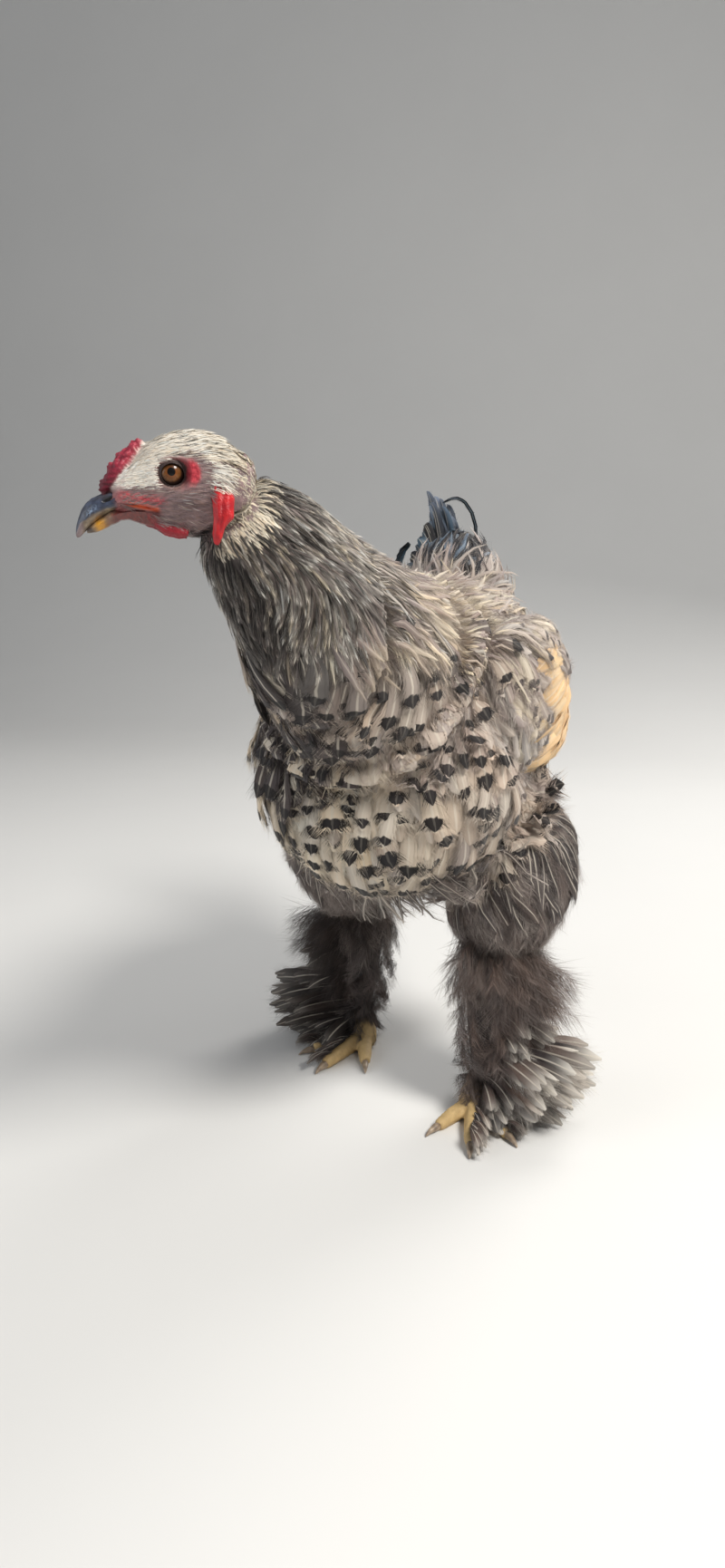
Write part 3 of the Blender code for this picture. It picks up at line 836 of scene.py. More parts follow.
room = np.array([tuple(end) for end in cadBounds]) + [[-0.012], [0.012]]   # the feathers stay inside this
lowest = 0.0008   # and nothing sinks into the ground


def finishBatch(woven, places, light, dark, spot, streak, style):
    # one batch of woven feathers, with each feather's colours and marks given to its points
    points, triangles, owner, along, across = woven
    points[:, 2] = np.maximum(points[:, 2], lowest)
    fits = ((points > room[0]) & (points < room[1])).all(1)
    triangles = triangles[fits[triangles].all(1)]
    used, triangles = np.unique(triangles, return_inverse=True)
    points, owner, along, across = points[used], owner[used], along[used], across[used]
    spot, streak, seed = np.zeros(len(light)) + spot, np.zeros(len(light)) + streak, chance.random(len(light))
    rootShade = style["rootShade"]
    # each feather darker towards its root: partly its duller base, partly painted shade where the feathers
    # above overlap it
    tint = light[owner] * (rootShade + (1 - rootShade) * ease(0.0, 0.5, along))[:, None]
    if "tipTint" in style:   # feathers whose ends pale
        share = style["tipShare"] * ease(style["tipFrom"], 1.0, along)
        tint = blend(tint, style["tipTint"], share * (0.4 + 0.6 * seed[owner]))
    return {
        "points": points, "triangles": triangles.reshape(-1, 3),
        "tint": np.column_stack([tint, seed[owner]]),
        "shade": np.column_stack([dark[owner], np.full(len(points), style["shaft"])]),
        "mark": np.stack([along, across * 0.5 + 0.5, spot[owner], streak[owner]], 1),
        "map": places[owner] + 0.003 * np.stack([across * 0.5, along - 0.5], 1),
    }


# colours over the bird

hues = {
    "cream": ink(224, 208, 180), "silver": ink(194, 184, 174), "mauve": ink(160, 144, 137),
    "taupe": ink(128, 114, 110), "smoke": ink(96, 86, 83), "charcoal": ink(52, 46, 46),
    "black": ink(27, 23, 22), "snow": ink(232, 226, 215), "buff": ink(219, 182, 132),
    "ash": ink(150, 138, 132), "inkBlue": ink(22, 27, 38),
    # gloss and steel below are painted sheen and reflection for the black feathers
    "gloss": ink(92, 128, 150), "steelSheen": ink(128, 146, 164), "umber": ink(112, 92, 82),
    "rose": ink(172, 112, 108), "scale": ink(188, 160, 112),
}


def vary(colours, amount=0.10, warmth=0.03):
    # a little difference in light and warmth between any two feathers
    count = len(colours)
    light = 1 + amount * chance.standard_normal((count, 1))
    warm = 1 + warmth * chance.standard_normal((count, 1)) * np.array([[1.0, 0.0, -1.0]])
    return np.clip(colours * light * warm, 0.002, 1)


def plain(hue, count, amount=0.10):
    return vary(np.tile(hues[hue], (count, 1)), amount)


def between(first, second, count):
    # somewhere between two of the hues, for each feather
    return blend(hues[first], hues[second], chance.random(count))


def fleck(light, hue, odds, most):
    # by these odds, a feather leans towards a hue
    return blend(light, hues[hue], (chance.random(len(light)) < odds) * most)


def eitherOf(chosen, first, second):
    return np.where(chosen[:, None], first, second)


# feathers, tract by tract

def growTract(plan):
    faces, spots = scatter(plan["where"], plan["spacing"])
    count = len(faces)
    lengths = plan["length"] * around(count, 0.12, 0.5, 1.5)
    widths = plan["width"] * around(count, 0.12, 0.6, 1.4)
    if "sizeBy" in plan:
        scale = plan["sizeBy"](spots)
        lengths, widths = lengths * scale, widths * scale
    light, dark, spot, streak = plan["colour"](faces)
    spot, streak = np.zeros(count) + spot, np.zeros(count) + streak
    line, up = layDown(faces, spots, lengths, plan, 1 + 0.36 * (spot > 0.3))
    kept = (up[:, 1:] * up[:, :-1]).sum(2).min(1) > 0.5   # a feather that would cross a fold is left out
    woven = weave(line[kept], up[kept], widths[kept] / 2, plan)
    looks = [values[kept] for values in (light, dark, spot, streak)]
    return finishBatch(woven, surface["map"][faces[kept]], *looks, plan)


where = surface["node"]
headAt, birdAt = surface["head"], surface["bird"]
headForward, _, headUp = headAt.T
skinX, skinY, skinZ = birdAt.T
mask = headFeatures(headAt)
onHead, onNeck, onTrunk, onWing, onFlight, onThigh, onShank, onCushion = (
    np.char.startswith(where, start)
    for start in ("head", "neck", "trunk", "wing", "flight", "thigh", "shank", "tail_cushion"))
nakedEye = ease(1.9, 1.7, mask["ring"]) * mask["lateral"]
nakedSkin = nakedEye + 1.4 * mask["patch"] + 0.75 * mask["strip"] + mask["gape"] + 0.8 * mask["jaw"]
nakedSkin += 0.8 * mask["mouth"] + mask["chinRed"] + ease(23, 26, headForward) * ease(-3, -7, headUp)
nakedSkin = np.clip(nakedSkin, 0, 1)
ragged = 0.007 * drift(birdAt, 34.0, 3.0)
lowNeck = onNeck & (skinY > -0.240)
velvet = ease(5, 9, headForward) * ease(-9, -5, headUp) * (1 - mask["crown"])
breastTop = 0.372 - 0.25 * np.clip(-0.20 - skinY, 0, 1)
hackleEnd = -0.168 - 0.35 * (0.37 - skinZ)
onUpperNeck = onNeck * (skinY + 0.022 * drift(birdAt, 26.0, 12.0) < hackleEnd)
breastNeck = lowNeck * ease(0.004, -0.004, skinZ - breastTop + ragged)
upperThigh = onThigh * ease(0.222, 0.230, skinZ + ragged) * ease(0.010, -0.004, skinY)
wingBay = onWing * ease(-0.050, -0.042, skinY + 0.4 * ragged)
wingBay = wingBay * ease(0.350, 0.342, skinZ + 0.5 * ragged) * (np.abs(skinX) > 0.078)


# each colour function gives its feathers' light and dark colours, spots and centre streaks

def crownColour(faces):
    local, count = headAt[faces], len(faces)
    streaky = ease(0.10, 0.45, drift(local, 0.16, 3.0)) * bell(local[:, 2], 12, 7) * bell(local[:, 0], -2, 16)
    nape = ease(-8, -24, local[:, 0])
    light = vary(blend(hues["snow"], hues["cream"], 0.5 * nape + 0.25 * chance.random(count)), 0.05)
    dark = vary(between("smoke", "charcoal", count))
    streaked = chance.random(count) < 0.25 + 0.6 * nape + 0.4 * streaky
    return light, dark, 0, np.clip(1.1 * streaky + 0.85 * nape, 0, 1) * streaked


def cheekColour(faces):
    local, count = headAt[faces], len(faces)
    pale = ease(-0.2, 0.5, drift(local, 0.3, 7.0)) * 0.22 + 0.25 * ease(-4, 6, local[:, 2])
    light = blend(ink(150, 128, 124), ink(122, 102, 102), chance.random(count))
    light = fleck(light, "silver", pale, 0.6)
    return vary(light, 0.10, 0.05), light * 0.45, 0, 0


def throatColour(faces):
    count = len(faces)
    pale = chance.random(count) < 0.18
    ashen = vary(between("taupe", "ash", count))
    light = eitherOf(pale, ashen, vary(between("charcoal", "black", count), 0.2))
    return light, plain("black", count), 0, 0.6


def tuftColour(faces):
    light = plain("snow", len(faces), 0.06)
    return light, light * 0.7, 0, 0


def neckUnder(points):
    # 0 on the sides and back of the neck, 1 on its front
    bird = toBird(points)
    x, y, z = bird.T
    below = neckMiddle(y) - z - 0.9 * np.abs(x + neckAside) + 0.012 * drift(bird, 40.0, 2.0)
    return ease(0.012, 0.026, below) * (1 - 0.65 * ease(-0.262, -0.225, y))


def strandAt(bird):
    # long dark and pale strands that run down the neck
    x, y, z = bird.T
    turn = np.arctan2(x + neckAside, z - neckMiddle(y))
    return drift(np.column_stack([5.5 * turn, 15 * y, 0 * turn]), 1.0, 2.0)


def hackleColour(faces):
    bird, count = birdAt[faces], len(faces)
    strand = strandAt(bird)
    under = neckUnder(surface["centre"][faces])
    downNeck = ease(-0.27, -0.10, bird[:, 1])
    patch = drift(bird, 22.0, 5.0)
    light = blend(hues["snow"], hues["silver"], ease(0.0, 0.6, downNeck + 0.3 * patch))
    light = blend(light, hues["mauve"], ease(0.25, 0.9, downNeck + 0.35 * patch) * 0.8)
    light = fleck(light, "cream", 0.28, 0.8)
    light = fleck(light, "taupe", 0.15 + 0.25 * downNeck, 0.6)
    light = blend(light, hues["smoke"], 0.7 * ease(0.02, 0.35, strand))
    light = blend(light, hues["snow"], 0.45 * ease(-0.1, -0.4, strand))
    dark = between("smoke", "black", count)
    light, dark = vary(light, 0.08), vary(dark)
    streak = np.clip(1.0 - 0.4 * downNeck + 0.25 * chance.standard_normal(count), 0.05, 1)
    deep = chance.random(count) < np.maximum(under, 0.42 * ease(-78, -52, headAt[faces][:, 0]))
    paler = chance.random(count) < 0.22
    ashen = vary(between("ash", "silver", count))
    sooty = eitherOf(paler, ashen, vary(between("smoke", "black", count), 0.15))
    light, dark = eitherOf(deep, sooty, light), eitherOf(deep, plain("black", count, 0.2), dark)
    return light, dark, 0, np.where(deep, 0.9, streak)


def capeColour(faces):
    bird, count = birdAt[faces], len(faces)
    patch = drift(bird, 16.0, 8.0)
    strand = strandAt(bird)
    light = blend(hues["mauve"], hues["taupe"], ease(0.0, 0.6, -patch))
    creamy = chance.random(count) < 0.30 + 0.5 * ease(0.0, 0.4, patch - strand)
    light = eitherOf(creamy, between("silver", "cream", count), light)
    light = blend(light, hues["smoke"], 0.5 * ease(0.1, 0.4, strand))
    dark = vary(between("taupe", "smoke", count))
    return vary(light, 0.08), dark, 0, 0.45 * chance.random(count)


def breastColour(faces):
    bird, count = birdAt[faces], len(faces)
    x, y, z = bird.T
    high = ease(0.28, 0.34, z + 0.02 * drift(bird, 20.0, 4.0))
    low = ease(0.216, 0.198, z + 0.012 * drift(bird, 25.0, 6.0))
    aside = ease(0.055, 0.095, x) + ease(-0.07, -0.10, x)
    back = np.clip(ease(-0.05, 0.03, y) + 0.5 * aside, 0, 1)
    light = blend(hues["cream"], hues["silver"], 0.15 + 0.6 * chance.random(count))
    light = blend(light, hues["mauve"], np.clip(0.35 * back + 0.35 * high, 0, 1))
    light = fleck(light, "ash", 0.10 + 0.25 * high + 0.2 * back, 0.7)
    dark = vary(blend(hues["black"], hues["charcoal"], 0.4 * chance.random(count)), 0.15)
    light = blend(light, hues["mauve"], 0.5 * ease(-0.01, 0.07, x))
    light = blend(light, hues["smoke"], low * 0.8)
    odds = (0.40 + 0.34 * ease(-0.25, 0.15, drift(bird, 30.0, 9.0))) * (1 - 0.15 * back)
    spot = (chance.random(count) < odds) * chance.uniform(0.75, 1.1, count) * (1 - 0.6 * low)
    # painted shade: dark feathers along the far edge, away from the light; darker feathers also low on the
    # neck's front; and a painted shadow under the cape
    edge = ease(-0.012, -0.045, x) * ease(0.265, 0.295, z) * ease(-0.085, -0.115, y)
    edge = np.maximum(edge, lowNeck[faces] * ease(0.035, 0.010, x) * ease(0.285, 0.315, z) * 0.7)
    sooty = chance.random(count) < 0.75 * edge
    light = eitherOf(sooty, between("smoke", "charcoal", count), light)
    shadow = lowNeck[faces] * ease(-0.026, -0.006, z - breastTop[faces]) * ease(-0.02, 0.01, x)
    light = blend(light, hues["charcoal"], 0.75 * shadow)
    streak = 0.15 * chance.random(count) + 0.5 * low
    return vary(light, 0.08), dark, spot, streak


def wingColour(faces):
    bird, count = birdAt[faces], len(faces)
    back = ease(-0.04, 0.08, bird[:, 1])
    light = between("silver", "mauve", count)
    light = fleck(light, "cream", 0.22, 0.7)
    light = blend(light, hues["ash"], 0.25 + back * 0.3)
    dark = vary(between("black", "smoke", count), 0.15)
    gathered = ease(-0.2, 0.2, drift(bird, 34.0, 9.0))
    spot = (chance.random(count) < (0.15 + 0.5 * gathered) * (1 - back)) * chance.uniform(0.5, 0.9, count)
    return vary(light, 0.09), dark, spot, 0.5 * chance.random(count)


def saddleColour(faces):
    count = len(faces)
    light = fleck(between("mauve", "silver", count), "cream", 0.22, 0.6)
    dark = vary(between("smoke", "taupe", count))
    return vary(light, 0.08), dark, 0, 0.5 * chance.random(count)


def flightColour(faces):
    count = len(faces)
    light = vary(blend(hues["buff"], hues["cream"], 0.25 * chance.random(count)), 0.08)
    return light, light * 0.55, 0, 0.5 * chance.random(count)


def flankColour(faces):
    count = len(faces)
    return vary(between("smoke", "charcoal", count), 0.12), plain("black", count), 0, 0.4


def bellyColour(faces):
    count = len(faces)
    light = fleck(between("smoke", "taupe", count), "silver", 0.18, 0.8)
    return vary(light, 0.12), plain("charcoal", count), 0, 0.5


def tierAt(points):
    # the fluff of the legs lies in tiers, 1 where a tier's tips stand out
    bird = toBird(points)
    return 0.5 + 0.5 * np.cos(2 * np.pi * (bird[:, 2] / 0.029 + 0.35 * drift(bird, 16.0, 1.0)))


def fluffColour(faces):
    count = len(faces)
    tier = tierAt(surface["centre"][faces])
    light = blend(hues["smoke"], hues["taupe"], np.clip(0.1 + 0.7 * tier * chance.random(count) + 0.2, 0, 1))
    light = blend(light, hues["umber"], 0.35 * chance.random(count))
    return vary(light, 0.12), light * 0.35, 0, 0


def shankColour(faces):
    count = len(faces)
    # painted shade: on the far side the fluff is less warm and has fewer pale flecks
    far = surface["centre"][faces][:, 0] < 0
    light = blend(hues["charcoal"], hues["umber"], chance.random(count) * np.where(far, 0.5, 1.0))
    light = fleck(light, "ash", 0.25, np.where(far, 0.2, 0.6))
    return vary(light, 0.15), light * 0.5, 0, 0.3


def cushionColour(faces):
    bird, count = birdAt[faces], len(faces)
    glossy = chance.random(count) < ease(0.375, 0.410, bird[:, 2])
    soft = vary(between("mauve", "silver", count))
    deep = between("inkBlue", "charcoal", count)
    # painted reflection: some of the deep feathers fleck towards pale steel blue
    deep = vary(fleck(deep, "steelSheen", 0.22, 0.7), 0.15)
    return eitherOf(glossy, deep, soft), eitherOf(glossy, hues["black"], hues["taupe"]), 0, 0.4


def only(share, least=0.3):
    return np.where(share > least, share, 0.0)


headBack = ease(-17.0, -20.5, headForward) + ease(-9.0, -14.0, headForward) * ease(1.5, 5.0, headUp)
plumed = np.clip(mask["crown"] + headBack, 0, 1) * (1 - nakedSkin)


def headX(spots):
    return toHead(spots)[:, 0]


def birdY(spots):
    return toBird(spots)[:, 1]


def birdZ(spots):
    return toBird(spots)[:, 2]


def tuckedThigh(spots):
    # the thigh's top lies close under the wing
    return 1 - 0.6 * ease(0.195, 0.235, birdZ(spots))


def tract(piece, place, way, colour, *styles, **own):
    # a stretch of coat: its piece, where it grows, which way it lies, its colours and its feathers
    plan = dict(commonStyle)
    for style in styles:
        plan.update(style)
    return {**plan, "piece": piece, "where": place, "lie": way, "colour": colour, **own}


fineStyle = dict(shape="lance", columns=(-1, 1), stations=5, barbThick=0.0002, stray=6, shaft=0.0)
capeStyle = dict(
    shape="lance", core=0.50, columns=fiveColumns, stations=9, width=0.0140, barbs=52, barbThick=0.00045,
    slant=12, cup=0.35, fray=0.3, fuzz=0.2, shaft=0.4)
breastStyle = dict(
    spacing=0.0064, length=0.038, width=0.022, shape="broad", core=0.55, columns=fiveColumns, stations=10,
    barbs=48, barbRoot=0.4, barbThick=0.00055, slant=24, fuzz=0.16, root=0.35, tip=0.98, stray=8, lock=20,
    cup=0.16, uneven=0.16, roll=8, curl=0.03, rootShade=0.5, shaft=0.9)
flankStyle = dict(shape="round", stations=7, slant=16, stray=12, cup=0.35, fray=0.4, fuzz=0.3)
fluffStyle = dict(
    shape="down", core=0.0, barbs=30, barbRoot=0.05, slant=13, fuzz=0.5, root=0.2, tip=1.0, lock=30,
    tipFrom=0.60, shaft=0.0)

tracts = [
    tract("crown", only(onHead * plumed), "head", crownColour, fineStyle, spacing=0.00080, length=0.0068,
          width=0.0016, core=0.8, barbs=4, barbThick=0.00022, slant=8, root=0.12, tip=0.70, stray=4, cup=0.3,
          rootShade=0.9, fray=0.4, uneven=0.2,
          sizeBy=lambda spots: 1 + 1.2 * ease(-8, -28, headX(spots)) - 0.4 * ease(2, 12, headX(spots)),
          riseBy=lambda spots: 1 - 0.6 * ease(-12, -24, headX(spots)) - 0.4 * ease(2, 12, headX(spots))),
    tract("face", only(onHead * (1 - plumed) * (1 - nakedSkin) * (1 - velvet)), "head", cheekColour,
          fineStyle, spacing=0.00078, length=0.0062, width=0.00042, core=1.0, barbs=1, barbRoot=0.0,
          slant=7, barbSpan=(0.3, 0.6), root=0.05, tip=0.9, lock=24, rootShade=0.85, cup=0.2, uneven=0.4),
    tract("face", only(onHead * velvet * (1 - nakedSkin)), "head", tuftColour, fineStyle, spacing=0.00056,
          length=0.0034, width=0.0010, shape="down", core=0.7, stations=4, barbs=2, slant=8, root=0.05,
          tip=0.4, lock=10, rootShade=1.0),
    tract("face", only(onHead * bell(headForward, -20, 4.5) * bell(headUp, -2.5, 6.5), 0.4), "head",
          tuftColour, fineStyle, spacing=0.00085, length=0.0090, width=0.0013, shape="down", core=0.35,
          barbs=7, barbThick=0.00022, slant=9, root=0.4, tip=2.4, stray=13, lock=15, rootShade=0.75),
    tract("face", only(onHead * mask["throat"] * (1 - nakedSkin)), "head", throatColour, fineStyle,
          spacing=0.0012, length=0.0115, width=0.0020, core=0.5, barbs=5, barbThick=0.0003, slant=10,
          root=0.3, tip=1.2, stray=14, lock=20, rootShade=0.8, shaft=0.2),
    tract("hackle", onUpperNeck * (1 - breastNeck), "neck", hackleColour, spacing=0.0025, length=0.038,
          width=0.0062, shape="lance", core=0.45, stations=7, barbs=22, barbRoot=0.25, barbThick=0.00034,
          slant=8, barbSpan=(0.05, 0.85), root=0.25, tip=1.0, stray=6, lock=30, cup=0.45, fray=0.35,
          rootShade=0.42, roll=14, sizeBy=lambda spots: 0.45 + 0.95 * ease(-0.275, -0.16, birdY(spots)),
          riseBy=lambda spots: 0.62 + 0.38 * ease(-40, -75, headX(spots))),
    tract("cape", only(onNeck * (1 - onUpperNeck) * (1 - breastNeck)), "neck", capeColour, capeStyle,
          spacing=0.0042, length=0.060, root=0.3, tip=1.1, stray=9, lock=38, curl=0.12, rootShade=0.35,
          roll=7),
    tract("cape", only(onNeck * ease(-0.245, -0.225, skinY)
                       * bell(skinZ - breastTop + ragged, 0.008, 0.012), 0.35),
          "fringe", capeColour, capeStyle, seed=4, spacing=0.0050, length=0.046, width=0.0125, root=0.4,
          tip=1.35, stray=11, lock=34, curl=0.08, uneven=0.2, rootShade=0.40, roll=8,
          tipTint=hues["cream"], tipShare=0.6, tipFrom=0.4),
    tract("breast", only(onTrunk * (1 - ease(0.02, 0.07, skinY)) * (skinZ < 0.362) + breastNeck),
          "trunk", breastColour, breastStyle),
    tract("breast", only(upperThigh), "thigh", breastColour, breastStyle, length=0.034, riseBy=tuckedThigh),
    tract("saddle", only(onTrunk * ease(0.330, 0.352, skinZ)), "trunk", saddleColour, spacing=0.0048,
          length=0.060, width=0.0100, shape="lance", core=0.45, stations=8, barbs=38, barbRoot=0.25,
          barbThick=0.00045, slant=11, root=0.3, tip=1.0, stray=12, lock=34, cup=0.35, fray=0.4, fuzz=0.25,
          curl=0.15, rootShade=0.40, roll=12, uneven=0.3,
          riseBy=lambda spots: 1 + 0.7 * ease(0.03, 0.10, birdY(spots))),
    tract("flank", only(onTrunk * ease(0.02, 0.07, skinY) * (skinZ < 0.34)), "trunk",
          flankColour, flankStyle, spacing=0.0066, length=0.050, width=0.013, core=0.5, barbs=38,
          barbThick=0.0005, root=0.3, tip=1.0, lock=26, shaft=0.25, rootShade=0.4,
          tipTint=hues["ash"], tipShare=0.5),
    tract("flank", only(onThigh * ease(0.176, 0.184, skinZ + ragged)
                        * ease(0.240, 0.230, skinZ + ragged)),
          "thigh", flankColour, flankStyle, spacing=0.0062, length=0.040, width=0.012, core=0.55,
          columns=(-1, -0.4, 0, 0.4, 1), barbs=40, barbRoot=0.35, barbThick=0.00045, root=0.4, tip=1.08,
          lock=22, shaft=0.95, curl=0.06, riseBy=tuckedThigh),
    tract("belly", only(onTrunk * ease(0.222, 0.214, skinZ + 0.5 * ragged)
                        * ease(-0.125, -0.10, skinY) * (np.abs(skinX) < 0.08)),
          "belly", bellyColour, spacing=0.0058, length=0.036, width=0.010, shape="down", core=0.25,
          stations=7, barbs=34, barbRoot=0.1, barbThick=0.00045, slant=12, root=0.4, tip=2.6, stray=16,
          lock=26, fray=0.5, fuzz=0.35, curl=0.10, rootShade=0.4, tipTint=hues["silver"], tipShare=0.7,
          shaft=0.8),
    tract("wing", only(onWing * (1 - wingBay)), "wing", wingColour, spacing=0.0056, length=0.034,
          width=0.0190, shape="broad", core=0.5, columns=fiveColumns, stations=9, barbs=46, barbRoot=0.35,
          barbThick=0.0005, slant=20, root=0.35, tip=1.1, stray=12, lock=34, cup=0.22, fray=0.25, fuzz=0.18,
          shaft=0.6, curl=0.07, rootShade=0.45,
          riseBy=lambda spots: 1 - 0.45 * ease(0.0, -0.04, birdY(spots))),
    tract("flight", only(np.clip(wingBay + onFlight, 0, 1)), "flight", flightColour, spacing=0.0068,
          length=0.070, width=0.0150, shape="strap", core=0.94, columns=fiveColumns, stations=9, barbs=44,
          barbRoot=0.85, barbThick=0.0005, slant=20, root=0.5, tip=1.0, stray=3, lock=4, cup=0.2, fray=0.10,
          rootShade=0.72, shaft=0.6, uneven=0.10),
    tract("thigh", only(onThigh * (1 - 0.8 * upperThigh) * (0.25 + 0.9 * tierAt(surface["centre"])), 0.2),
          "thigh", fluffColour, fluffStyle, spacing=0.0036, length=0.034, width=0.0115, barbThick=0.0005,
          barbSpan=(0.02, 0.85), stray=16, fray=0.35, rootShade=0.30, curl=0.16, tipTint=hues["silver"],
          tipShare=0.75, sizeBy=lambda spots: 1 + 0.45 * ease(0.180, 0.150, birdZ(spots)),
          riseBy=lambda spots: (0.72 + 0.42 * tierAt(spots)) * tuckedThigh(spots)),
    tract("shank", onShank * 1.0, "shank", shankColour, fluffStyle, spacing=0.0034, length=0.030,
          width=0.0110, barbThick=0.00048, stray=18, fray=0.4, uneven=0.3, rootShade=0.35, curl=0.14,
          tipTint=hues["ash"], tipShare=0.55, riseBy=lambda spots: 0.72 + 0.42 * tierAt(spots)),
    tract("cushion", onCushion * 1.0, "cushion", cushionColour, spacing=0.0046, length=0.048, width=0.0100,
          shape="lance", stations=7, barbs=34, barbRoot=0.35, barbThick=0.00045, slant=12, root=0.3,
          tip=1.05, stray=12, lock=24, fray=0.5, fuzz=0.3, curl=0.16, rootShade=0.5, roll=16),
]


# long feathers that fill a solid from its root to its tip

def pointsOfNode(name):
    return np.array([tuple(v.co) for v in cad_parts[name].data.vertices])


def runThrough(name, rootSpot, bins):
    # the middle of a solid at steps from its root, with its two half breadths there
    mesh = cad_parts[name].data
    mesh.calc_loop_triangles()
    keys, index = np.unique(np.round(pointsOfNode(name), 5), axis=0, return_inverse=True)
    triangles = index.reshape(-1)[np.array([t.vertices[:] for t in mesh.loop_triangles])]
    ends = np.concatenate([triangles[:, [0, 1]], triangles[:, [1, 2]], triangles[:, [2, 0]]])
    lengths = np.linalg.norm(keys[ends[:, 0]] - keys[ends[:, 1]], axis=1)
    start = np.linalg.norm(keys - np.array(rootSpot), axis=1)
    reach = np.where(start < start.min() + 0.006, 0, np.inf)
    before = None
    while before is None or not np.array_equal(before, reach):
        before = reach.copy()
        np.minimum.at(reach, ends[:, 0], reach[ends[:, 1]] + lengths)
        np.minimum.at(reach, ends[:, 1], reach[ends[:, 0]] + lengths)
    share = reach / reach[np.isfinite(reach)].max()
    weights = []
    for step in np.linspace(0, 1, bins):
        weight = np.exp(-((share - step) / (0.7 / bins)) ** 2)
        weights.append(weight / weight.sum())
    middle = np.array([(keys * weight[:, None]).sum(0) for weight in weights])
    tangent = unit(np.gradient(middle, axis=0))
    halves, directions = [], []
    for k, weight in enumerate(weights):
        offset = keys - middle[k]
        offset = offset - (offset @ tangent[k])[:, None] * tangent[k]
        size, axes = np.linalg.eigh((offset[:, :, None] * offset[:, None, :] * weight[:, None, None]).sum(0))
        halves.append(np.sqrt(np.maximum(size[[2, 1]], 1e-9)) * 1.25)
        pair = axes[:, [2, 1]].T
        if k:   # the axes keep one sense all the way along
            pair = pair * np.where((pair * directions[-1]).sum(1) < 0, -1.0, 1.0)[:, None]
        directions.append(pair)
    return middle, np.array(halves), np.array(directions)


def fillSolid(name, rootSpot, count, plan):
    # long feathers side by side in a solid
    middle, halves, directions = runThrough(name, rootSpot, plan["bins"])
    angle = chance.uniform(0, 2 * math.pi, count)
    lane = np.sqrt(chance.uniform(plan["core"], 1.0, count)) * plan["fill"]
    first = chance.uniform(0, plan["rootSpread"], count)
    last = chance.uniform(plan["tipSpread"], 1.0, count)
    share = first[:, None] + (last - first)[:, None] * np.linspace(0, 1, plan["stations"])[None, :]

    def read(values):
        return along3(np.broadcast_to(values, (count,) + values.shape), share)

    wideAxis, thinAxis = unit(read(directions[:, 0])), unit(read(directions[:, 1]))
    across = (np.cos(angle) * lane)[:, None] * read(halves[:, :1])[..., 0]
    through = (np.sin(angle) * lane)[:, None] * read(halves[:, 1:])[..., 0]
    line = read(middle) + across[..., None] * wideAxis + through[..., None] * thinAxis
    outward = np.sign(np.sin(angle))[:, None, None] * thinAxis + 0.5 * np.cos(angle)[:, None, None] * wideAxis
    widths = plan["width"] * around(count, 0.15, 0.5, 1.5)
    return finishPlumes(line, unit(outward), widths, rootSpot, plan)


def finishPlumes(line, up, widths, rootSpot, plan):
    # feathers of the tail, which share one place on the skin's map
    count = len(widths)
    woven = weave(line, up, widths / 2, plan)
    light, dark, streak = tailColour(count)
    places = surface["map"][faceNear([rootSpot])] + chance.uniform(-0.01, 0.01, (count, 2))
    return finishBatch(woven, places, light, dark, 0, streak, plan)


def tailColour(count):
    # painted sheen: some feathers take a blue gloss, a few a pale steel-blue reflection
    sheen = chance.random(count)
    light = between("inkBlue", "black", count)
    light = blend(light, hues["gloss"], 0.5 * (sheen > 0.55) * sheen)
    light = blend(light, hues["steelSheen"], 0.8 * (sheen > 0.86))
    return vary(light, 0.15), plain("black", count), 0.3


def nodeEnd(name, towards, far):
    # the middle of the solid's end that is nearest to, or farthest from, a spot
    values = pointsOfNode(name)
    reach = np.linalg.norm(values - np.array(towards), axis=1)
    limit = np.quantile(reach, 0.92 if far else 0.08)
    return values[reach >= limit].mean(0) if far else values[reach <= limit].mean(0)


tailPlan = styled(
    shape="sickle", core=0.8, columns=fiveColumns, stations=13, barbs=46, barbRoot=0.6, width=0.0125, cup=0.3,
    fray=0.16, slant=18, shaft=0.9, roll=14, rootShade=0.8, fuzz=0.15, tall=1.04)
sicklePlan = {
    **tailPlan, "fill": 0.3, "rootSpread": 0.02, "tipSpread": 0.97, "bins": 14, "stations": 20, "roll": 4,
}


# the boots: sprays of feathers from the shanks and the outer toes

def bentLines(root, bend, tip, stations):
    # curves from root to tip that bend towards a third point
    u = np.linspace(0, 1, stations)[None, :, None]
    return root[:, None] * (1 - u) ** 2 + bend[:, None] * 2 * u * (1 - u) + tip[:, None] * u ** 2


def bootColourWithFarShade(count, far, warmth):
    light = blend(hues["charcoal"], hues["umber"], np.clip(warmth * chance.random(count), 0, 1))
    # painted shade: the far foot's boot darkened towards black
    light = blend(light, hues["black"], far * 0.7)
    return vary(light, 0.16)


sprayPlan = {   # metres: where a boot's feathers leave the shank, how they arch and how low they come
    "rootOut": 0.010, "archOut": 0.006, "softArch": 0.008, "stiffArch": 0.003, "lowest": 0.004,
    "level": 0.012, "toeHeight": 0.011, "toeReach": (0.018, 0.030), "toeTip": (0.003, 0.012),
    "toeWidth": 0.0085,
}
softSpray = styled(
    shape="down", core=0.0, stations=7, barbs=40, barbRoot=0.04, barbThick=0.00045, barbSpan=(0.05, 0.88),
    cup=0.2, fray=0.45, slant=15, fuzz=0.5, rootShade=0.4, roll=40, tipTint=hues["ash"], tipShare=0.6,
    tipFrom=0.5, shaft=0.0)
stiffSpray = styled(
    shape="strap", core=0.62, columns=(-1, -0.4, 0, 0.4, 1), stations=8, barbs=50, barbRoot=0.5,
    barbThick=0.00045, fray=0.22, slant=17, shaft=1.0, roll=18, fuzz=0.2, tipTint=hues["snow"],
    tipFrom=0.60, tipShare=0.95, rootShade=0.45)
